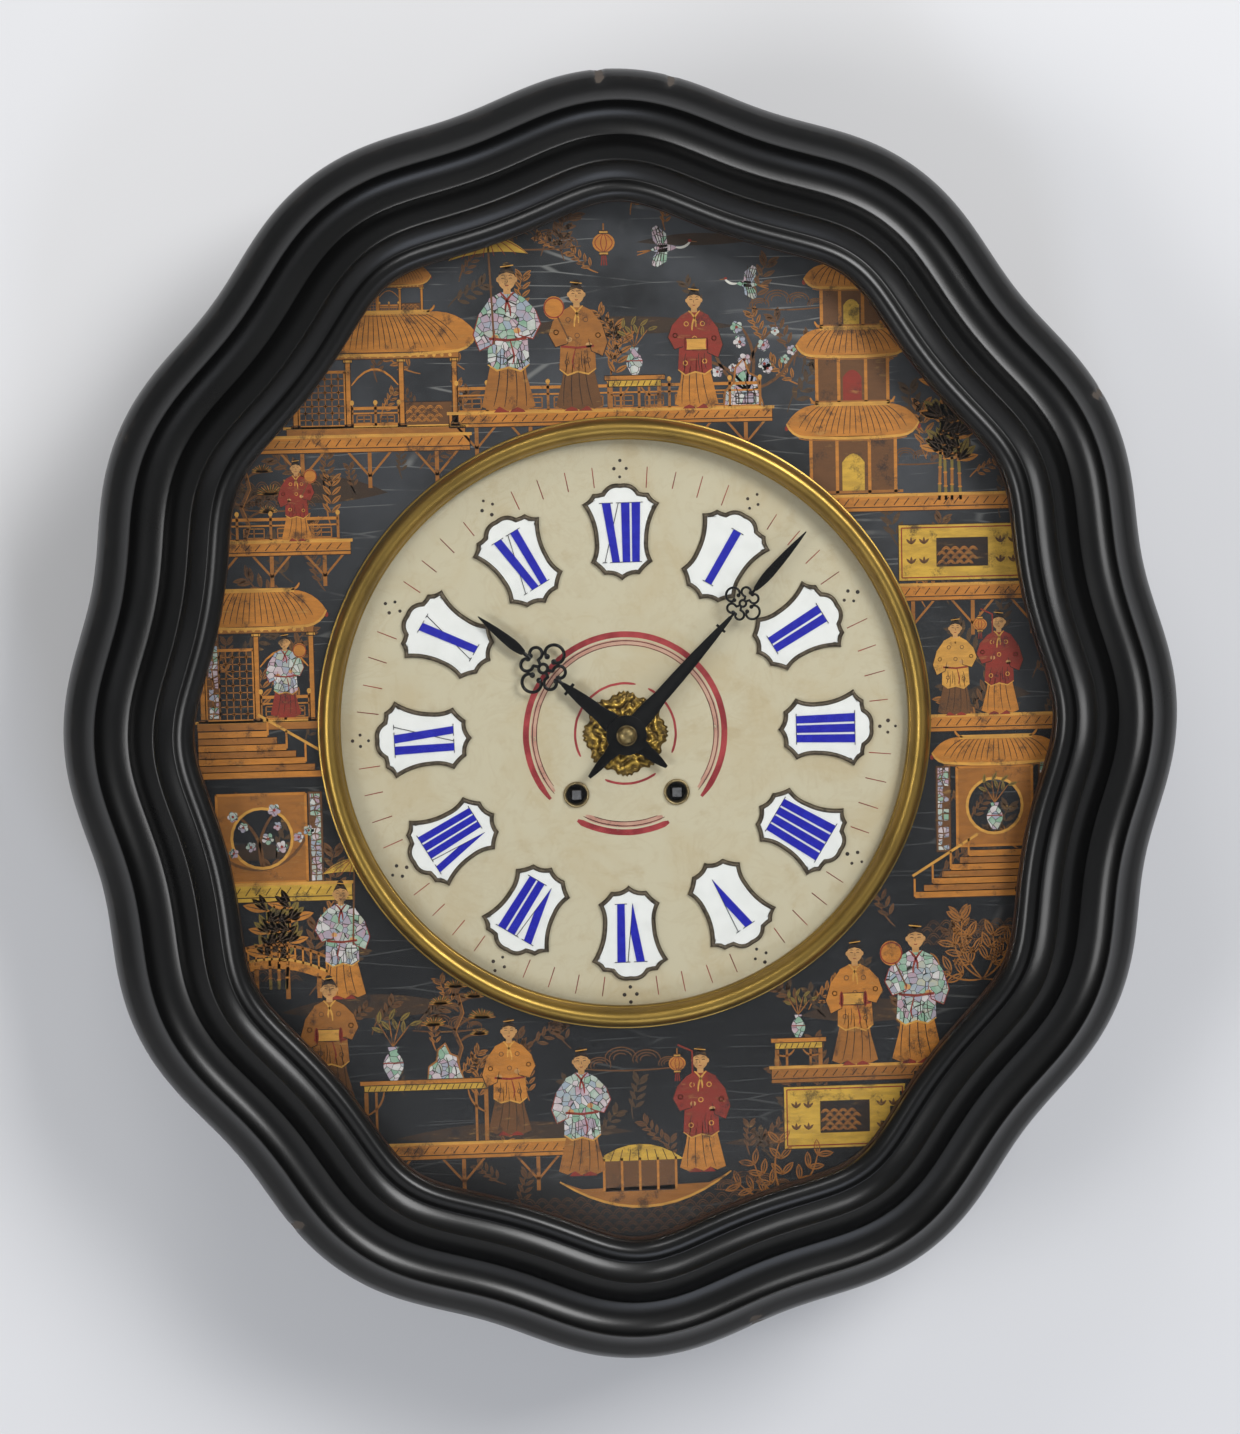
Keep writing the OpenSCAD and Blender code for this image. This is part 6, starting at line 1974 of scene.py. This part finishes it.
    def figure(self, b: Brush, robe: Tint, skirt: Tint, holds: str, pearl: bool = False) -> None:
        """Draws a small calm figure in a loose robe, 75 mm tall at full size.

        Args:
            b: Brush at the figure's feet.
            robe: Colour of the robe.
            skirt: Colour of the skirt under it.
            holds: What is held: a fan, a parasol, a lantern, a scroll or nothing.
            pearl: Whether the robe is inlaid shell.
        """
        over, trim, fold = (7, Tint.RED, Tint.RED) if pearl else (5, Tint.BRIGHT, Tint.LINE)
        rings = () if pearl else ((-5, 52), (5, 52), (-12, 43), (0, 43), (-6, 29), (6, 28), (12, 45))
        for x in (-5, 3):
            b.fill(arch((x - 3, 0), (x + 5, 0), 3.0, 5), Tint.RED, 1)
        hem = [(-14, 3), (-9, 1), (-5, 3), (-1, 0.5), (4, 2.6), (8, 0.8), (13, 3)]
        b.fill([(-7, 34), (-11, 16), *hem, (9, 18), (7, 34)], skirt, 2)
        for x0, x1 in ((-4, -8), (-1, -2.5), (2, 3.5), (5, 8.5)):
            b.arc((x0, 31), (x1, 3), 1.0, 0.5, Tint.LINE, 3)
        seam = [(-10.5, 24), (-6, 21), (0, 22.5), (6, 20.5), (10.5, 24)]
        coat = [(-3, 60), (-9, 57), (-11, 50), (-10, 40), *seam, (9.5, 40), (10.5, 50), (8.5, 57), (3, 60)]
        b.fill(coat, robe, 3, pearl)
        left = [(-8.6, 57), (-14.5, 49), (-17.5, 39), (-14.5, 31), (-8, 34), (-6.5, 41), (-9, 49)]
        right = [(8.4, 57), (14, 51), (16.5, 44), (12.5, 36.5), (5.5, 38.5), (4.8, 43), (9, 49)]
        for sleeve in (left, right):
            b.fill(sleeve, robe, 4, pearl)
        for sleeve in (left, right):
            b.line(sleeve[1:6], 0.6, fold, over)
        for x, z, r in ((-6.6, 37.5, 1.9), (4.6, 40.8, 1.8)):
            b.oval(x, z, r, 1.5, Tint.SKIN, 5)
        b.arc((-3.5, 60), (1.5, 48), 1.5, 1.1, trim, over)
        b.arc((3.5, 60), (-1, 50), -1.5, 1.1, trim, over)
        b.line([(-9.6, 37), (0, 36), (9.3, 37)], 1.3, Tint.RED, over, 1.0)
        b.line([(1, 36), (3, 28), (2, 24)], 0.8, Tint.RED, over)
        b.line(seam, 1.0, Tint.BRIGHT, over)
        for x0, x1 in ((-6, -7), (-2.5, -3), (5.5, 6.5)):
            b.arc((x0, 34), (x1, 24), 0.6, 0.45, Tint.LINE, over - 1)
        for x, z in rings:
            b.hoop(x, z, 1.3, 0.5, Tint.BRIGHT if robe is Tint.RED else Tint.BROWN, over - 1)
        self.head(b.at(0, 60))
        self.held(b, holds)

    def head(self, b: Brush) -> None:
        """Draws a plain round face with its hair in a knot."""
        b.fill([(-1.8, -1), (-1.8, 3), (1.8, 3), (1.8, -1)], Tint.SKIN, 4)
        b.oval(0, 6.6, 4.5, 5.5, Tint.SKIN, 5)
        cap = arch((-4.7, 7.2), (4.7, 7.2), 6.6, 9) + [(3.4, 8.9), (0, 9.9), (-3.4, 8.9)]
        b.fill(cap, Tint.HAIR, 7)
        b.oval(0, 13.2, 2.1, 1.7, Tint.HAIR, 7)
        b.bar((-3.2, 12.6), (3.4, 13.4), 0.55, Tint.BRIGHT, 8)
        for side in (-1, 1):
            b.arc((side * 1.0, 6.7), (side * 2.8, 6.8), 0.25 * side, 0.42, Tint.LINE, 7)
            b.arc((side * 0.9, 8.1), (side * 2.9, 8.2), 0.35 * side, 0.35, Tint.LINE, 7)
            b.oval(side * 4.5, 6.3, 0.8, 1.3, Tint.SKIN, 4)
        b.line([(0.1, 6.6), (0.35, 5.0), (-0.2, 4.9)], 0.32, Tint.LINE, 7)
        b.arc((-0.9, 3.5), (0.9, 3.5), -0.3, 0.5, Tint.RED, 7)

    def held(self, b: Brush, what: str) -> None:
        """Draws what a figure holds."""
        if what == "fan":
            b.bar((5, 41), (11, 54), 0.9, Tint.BROWN, 6)
            b.oval(13, 59, 6.0, 6.6, Tint.GOLD, 6)
            b.hoop(13, 59, 5.6, 0.7, Tint.RED, 7)
            self.spray(b.at(13, 57, 0.5))
        elif what == "parasol":
            b.bar((-7, 34), (-9, 83), 1.0, Tint.BROWN, 6)
            dome = arch((-29, 76), (11, 79), 11, 10) + bow((11, 79), (-29, 76), -2.5, 6)[1:]
            b.fill(dome, Tint.YELLOW, 6)
            for i in range(8):
                b.arc((-9.2, 88.5), (-28 + 5.5 * i, 76.3 + 0.4 * i), (i - 3.5) * 0.4, 0.45, Tint.RED, 7)
        elif what == "lantern":
            b.line([(4.6, 36), (4.6, 72), (13, 76)], 1.0, Tint.RED, 6, 1.0)
            self.lantern(b.at(13.5, 65, base=0.1), 5.0)
        elif what == "scroll":
            b.box(-8, 36, 14, 7, Tint.BRIGHT, 7)
            for side in (-8, 6):
                b.oval(side, 39.5, 1.2, 4.6, Tint.RED, 8)

    def spray(self, b: Brush) -> None:
        """Draws a small tuft of leaves."""
        for turn in (48, 90, 132):
            b.leaf(0, 0, 9, turn, Tint.BROWN)

    def screen(self, b: Brush, w: float, h: float) -> None:
        """Draws a yellow garden screen with a dark scaled field and sprigs."""
        b.box(0, 0, w, h, Tint.YELLOW, 1)
        b.border(1.6, 1.6, w - 3.2, h - 3.2, 0.6, Tint.RED, 2)
        b.box(w * 0.3, h * 0.25, w * 0.4, h * 0.5, Tint.HAIR, 2)
        self.scales(b.at(w * 0.3 + 2.5, h * 0.25 + 1, base=0.05), w * 0.4 - 4, h * 0.5 - 3, 4.5, Tint.GOLD)
        for x in (0.1, 0.2, 0.8, 0.9):
            for z in (0.3, 0.65):
                self.spray(b.at(w * x, h * z, 0.42, base=0.04))


@dataclass
class Painting:
    """The gold and shell garden that covers the panel, in a layout of its own."""

    shop: Workshop
    brush: Brush
    motifs: Motifs = field(default_factory=Motifs)

    def ground(self) -> None:
        """Lays the dim distance: banks of brown wash, far clouds, plants and water."""
        b, m = replace(self.brush, base=0.03, step=0.014), self.motifs
        banks = ((-150, 118, 70, 9), (120, 60, 90, 8), (-60, -206, 120, 7), (120, -150, 70, 8),
                 (-186, -60, 40, 6), (0, 196, 120, 6), (186, 10, 36, 6), (90, -214, 90, 6),
                 (-130, -140, 90, 8), (40, 238, 60, 4))
        for x, z, w, h in banks:
            left, right = (x - w / 2, z), (x + w / 2, z)
            b.fill(bow(left, right, h, 9) + bow(right, left, h * 0.5, 9), Tint.WASH)
        m.thicket(b, 150)
        clouds = ((-40, 238, 46), (84, 206, 40), (-170, 112, 34), (186, -112, 34), (-92, -150, 36),
                  (146, 128, 34), (0, -172, 50), (60, -236, 40))
        for x, z, w in clouds:
            m.cloud(b.at(x, z), w)
        waters = ((-70, -258, 140, 20), (-200, -124, 40, 16), (150, -116, 50, 14), (-206, 112, 60, 14))
        for x, z, w, h in waters:
            m.scales(b.at(x, z), w, h, 6.5)

    def top(self) -> None:
        """Paints the upper parts."""
        b, m = self.brush, self.motifs
        m.terrace(b.at(-206, 138), 132, 8, 4)
        m.terrace(b.at(-84, 149), 160, 7, 6)
        m.pavilion(b.at(-120, 150, 0.98), 80, 34, 3, 20)
        m.pavilion(b.at(-112, 206, 0.46), 70, 26, 3, 22)
        m.rail(b.at(-80, 156), 150, 12, 10)
        m.figure(b.at(-54, 156, 0.98, 1, 0.05), Tint.MILK, Tint.OCHRE, "parasol", True)
        m.figure(b.at(-20, 156, 0.86, -1, 0.05), Tint.OCHRE, Tint.BROWN, "fan")
        m.table(b.at(8, 156, base=0.04), 30, 17)
        m.vase(b.at(8, 173, 0.9, 1, 0.04), 15)
        m.figure(b.at(38, 156, 0.8, -1, 0.05), Tint.RED, Tint.GOLD, "scroll")
        m.rock(b.at(62, 156), 20, 24)
        m.blossom(b.at(64, 164), 32, 5)
        m.crane(b.at(24, 234), 0.8)
        m.crane(b.at(64, 216, 1, -1), 0.65)
        m.lantern(b.at(-6, 238), 5.5)

    def right(self) -> None:
        """Paints the right side."""
        b, m = self.brush, self.motifs
        m.pagoda(b.at(116, 112), 62, 3)
        m.bamboo(b.at(158, 108), 58, 4)
        m.terrace(b.at(80, 103), 130, 8)
        m.screen(b.at(138, 68), 64, 28)
        m.terrace(b.at(130, 58), 90, 8, 3)
        m.figure(b.at(188, 0, 0.7, -1, 0.05), Tint.RED, Tint.GOLD, "lantern")
        m.figure(b.at(166, 0, 0.66, 1, 0.05), Tint.BRIGHT, Tint.BROWN, "none")
        m.terrace(b.at(140, -8), 80, 8)
        m.roof(b.at(186, -24, base=0.03), 56, 13)
        m.shell_strip(b.at(156, -68), 6, 42)
        m.shell_strip(b.at(208, -60), 5, 36)
        m.moon_gate(b.at(166, -66), 38, 40, 14)
        m.vase(b.at(185, -58, 0.9, 1, 0.04), 15)
        m.steps(b.at(144, -92), 68, 7)
        m.shrub(b.at(178, -134), 34, 6)

    def bottom(self) -> None:
        """Paints the lower parts."""
        b, m = self.brush, self.motifs
        m.terrace(b.at(70, -184), 112, 8, tint=Tint.OCHRE)
        m.screen(b.at(76, -218, base=0.02), 62, 32)
        m.figure(b.at(144, -176, 0.96, -1, 0.06), Tint.GREEN, Tint.GOLD, "fan", True)
        m.figure(b.at(113, -176, 0.86, 1, 0.08), Tint.GOLD, Tint.OCHRE, "scroll")
        m.table(b.at(84, -176, base=0.02), 28, 15)
        m.vase(b.at(84, -161, 0.9, 1, 0.04), 13)
        m.boat(b.at(4, -242, base=0.02), 1.4)
        m.shrub(b.at(76, -244), 30, 5)
        m.terrace(b.at(-142, -217), 112, 8, 3)
        m.figure(b.at(-26, -228, 0.88, 1, 0.08), Tint.ROSE, Tint.OCHRE, "none", True)
        m.figure(b.at(34, -228, 0.86, -1, 0.08), Tint.RED, Tint.GOLD, "lantern")
        m.table(b.at(-104, -208), 66, 32)
        m.vase(b.at(-120, -176, base=0.04), 17)
        m.rock(b.at(-94, -176), 18, 18)
        m.figure(b.at(-62, -206, 0.8, 1, 0.06), Tint.GOLD, Tint.BROWN, "none")
        m.figure(b.at(-151, -186, 0.86, 1, 0.06), Tint.OCHRE, Tint.BROWN, "scroll")
        m.pine(b.at(-88, -168), 38)

    def left(self) -> None:
        """Paints the left side."""
        b, m = self.brush, self.motifs
        m.terrace(b.at(-212, 88), 78, 7, 3)
        m.rail(b.at(-206, 95), 66, 11, 4)
        m.figure(b.at(-160, 95, 0.54, 1, 0.05), Tint.RED, Tint.GOLD, "fan")
        m.pine(b.at(-186, 95, 0.9), 44)
        m.pavilion(b.at(-182, 6), 54, 44, 2, 18)
        m.figure(b.at(-168, 8, 0.56, 1, 0.08), Tint.MILK, Tint.RED, "fan", True)
        m.shell_strip(b.at(-206, 8), 5, 42)
        m.steps(b.at(-150, -22, 1, -1), 62, 7)
        m.moon_gate(b.at(-204, -74), 44, 44, 15)
        m.shell_strip(b.at(-158, -74), 5.5, 44)
        m.blossom(b.at(-182, -68), 30, 4)
        m.terrace(b.at(-212, -84), 74, 9, tint=Tint.YELLOW)
        m.bridge(b.at(-210, -124), 62, 9)
        m.bamboo(b.at(-180, -128), 42, 3)
        m.figure(b.at(-144, -134, 0.8, -1, 0.06), Tint.BLUE, Tint.GOLD, "parasol", True)

    def build(self) -> None:
        """Paints the panel and inlays the shell."""
        for paint in (self.ground, self.top, self.right, self.bottom, self.left):
            paint()
        paint, pearl = self.brush.paint.raised(), self.brush.pearl.raised()
        self.shop.piece(paint, "panel_gold_paint", Finish.PAINT, "case", "lacquer", sharp=60)
        self.shop.piece(pearl, "panel_shell_inlay", Finish.PEARL, "case", "lacquer", sharp=60)


@dataclass
class CaseAndMovement:
    """The box and everything in it, which keep their own shapes."""

    shop: Workshop

    def build(self) -> None:
        """Gives the carried-over nodes their finishes."""
        dress = self.shop.dress
        dress(Finish.BACK_WOOD, "back_board", "corner_blocks")
        dress(Finish.BOX_WOOD, "case_sides", "case_ends")
        dress(Finish.BLACK_WOOD, "front_board")
        dress(Finish.LACQUER, "lacquer_panel")
        dress(Finish.TRAIN_BRASS, "case_hinge_leaves", "back_plate", "front_plate", "back_cock",
              "centre_wheel", "hour_wheel", "minute_wheel", "going_barrel", "strike_barrel",
              "intermediate_wheel", "third_wheel", "escape_wheel", "pin_wheel", "locking_wheel", "fly",
              "pendulum_bob", "rating_nut", "crutch")
        dress(Finish.STEEL, "hinge_pins", "hanging_plate", "movement_posts", "plate_pillars", "pillar_nuts",
              "dial_feet", "bell_stand", "click_springs", "motion_post", "centre_arbor", "cannon_pinion",
              "going_click", "strike_click", "suspension_spring", "pendulum_rod", "anchor", "hammer")
        dress(Finish.BELL_METAL, "bell")


@dataclass
class Studio:
    """The camera, the lamps, the wall and the floor."""

    distance: float = 1.80
    left: float = -0.109
    up: float = 0.166
    roll: float = -1.2
    lens: float = 85.7

    def camera(self) -> None:
        """Sets the camera where the picture was taken."""
        data = bpy.data.cameras.new("camera")
        data.lens = self.lens
        data.sensor_width = 36.0
        data.clip_start = 0.05
        camera = bpy.data.objects.new("camera", data)
        bpy.context.scene.collection.objects.link(camera)
        place = Vector((self.left, -self.distance, self.up))
        target = Vector((-0.0028, -0.1115, 0.0038))
        aim = (target - place).to_track_quat("-Z", "Y")
        spin = Matrix.Rotation(math.radians(self.roll), 4, "Z")
        camera.matrix_world = Matrix.Translation(place) @ aim.to_matrix().to_4x4() @ spin
        bpy.context.scene.camera = camera

    def lamp(self, name: str, place: Sequence[float], size: float, watts: float,
             tint: str = "ffffff") -> None:
        """Adds a square lamp that faces the clock."""
        data = bpy.data.lights.new(name, "AREA")
        data.size = size
        data.energy = watts
        data.color = rgb(tint)[:3]
        made = bpy.data.objects.new(name, data)
        bpy.context.scene.collection.objects.link(made)
        made.location = place
        made.rotation_euler = (-Vector(place)).to_track_quat("-Z", "Y").to_euler()

    def pale(self, name: str, colour: str) -> bpy.types.Material:
        """Makes the wall's and floor's material, which only shows from its front and never stops light."""
        r = Recipe(name)
        rays = r.node("ShaderNodeLightPath", {}, {})
        back = Wire(r, r.node("ShaderNodeNewGeometry", {}, {}).outputs["Backfacing"])
        seen = Wire(r, rays.outputs["Is Camera Ray"]) + Wire(r, rays.outputs["Is Glossy Ray"])
        seen = seen + Wire(r, rays.outputs["Is Transmission Ray"])
        cloud = r.noise(300, 3)
        shade = r.mix(cloud, rgb(colour), rgb("cfcfd0"))
        solid = r.node("ShaderNodeBsdfDiffuse", {}, {"Color": shade})
        clear = r.node("ShaderNodeBsdfTransparent", {}, {})
        mask = seen.between(0, 1) * (1 - back)
        mixed = r.node("ShaderNodeMixShader", {}, {0: mask, 1: clear.outputs[0], 2: solid.outputs[0]})
        r.tree.links.new(mixed.outputs[0], r.output.inputs[0])
        return r.material

    def sheet(self, name: str, turn: Matrix, place: Vector, colour: str) -> None:
        """Adds one large flat sheet to the stage."""
        bm = bmesh.new()
        bmesh.ops.create_grid(bm, x_segments=1, y_segments=1, size=4.0)
        mesh = bpy.data.meshes.new(name)
        bmesh.ops.transform(bm, matrix=Matrix.Translation(place) @ turn, verts=bm.verts)
        bm.to_mesh(mesh)
        bm.free()
        mesh.materials.append(self.pale(name, colour))
        made = bpy.data.objects.new(name, mesh)
        bpy.context.scene.collection.objects.link(made)

    def world(self) -> None:
        """Lights the room evenly."""
        world = bpy.data.worlds.new("room")
        world.use_nodes = True
        back = world.node_tree.nodes["Background"]
        back.inputs[0].default_value = (0.86, 0.88, 0.9, 1)
        back.inputs[1].default_value = 0.27
        bpy.context.scene.world = world

    def build(self) -> None:
        """Sets up the studio."""
        self.camera()
        self.sheet("wall", Matrix.Rotation(math.radians(90), 4, "X"), Vector((0, 0.004, 3.2)), "d2d2d4")
        self.sheet("floor", Matrix.Identity(4), Vector((0, -3.9, -0.8)), "dcdcde")
        self.lamp("key_lamp", (1.15, -2.0, 1.2), 1.0, 48)
        self.lamp("top_lamp", (-0.5, -1.4, 1.8), 0.6, 10)
        self.lamp("side_lamp", (-1.7, -1.9, -0.3), 1.0, 25)
        self.lamp("low_lamp", (0.35, -1.5, -1.35), 0.4, 8, "e4edff")
        self.world()
        bpy.context.scene.view_settings.view_transform = "Standard"


def main() -> None:
    """Builds the clock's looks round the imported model."""
    logging.basicConfig(level=logging.INFO, format="%(message)s")
    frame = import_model()
    shop = Workshop(frame)
    edge = WavedEdge()
    parts: list[Callable[[], None]] = [
        Studio().build, Door(shop, edge).build, Bezel(shop).build, Dial(shop).build, HourPlaques(shop).build,
        Hands(shop).build, WindingHoles(shop).build, CaseAndMovement(shop).build,
        Painting(shop, Brush(Room(edge), Sheet(), Sheet())).build,
    ]
    for build in parts:
        build()


if __name__ == "__main__":
    main()
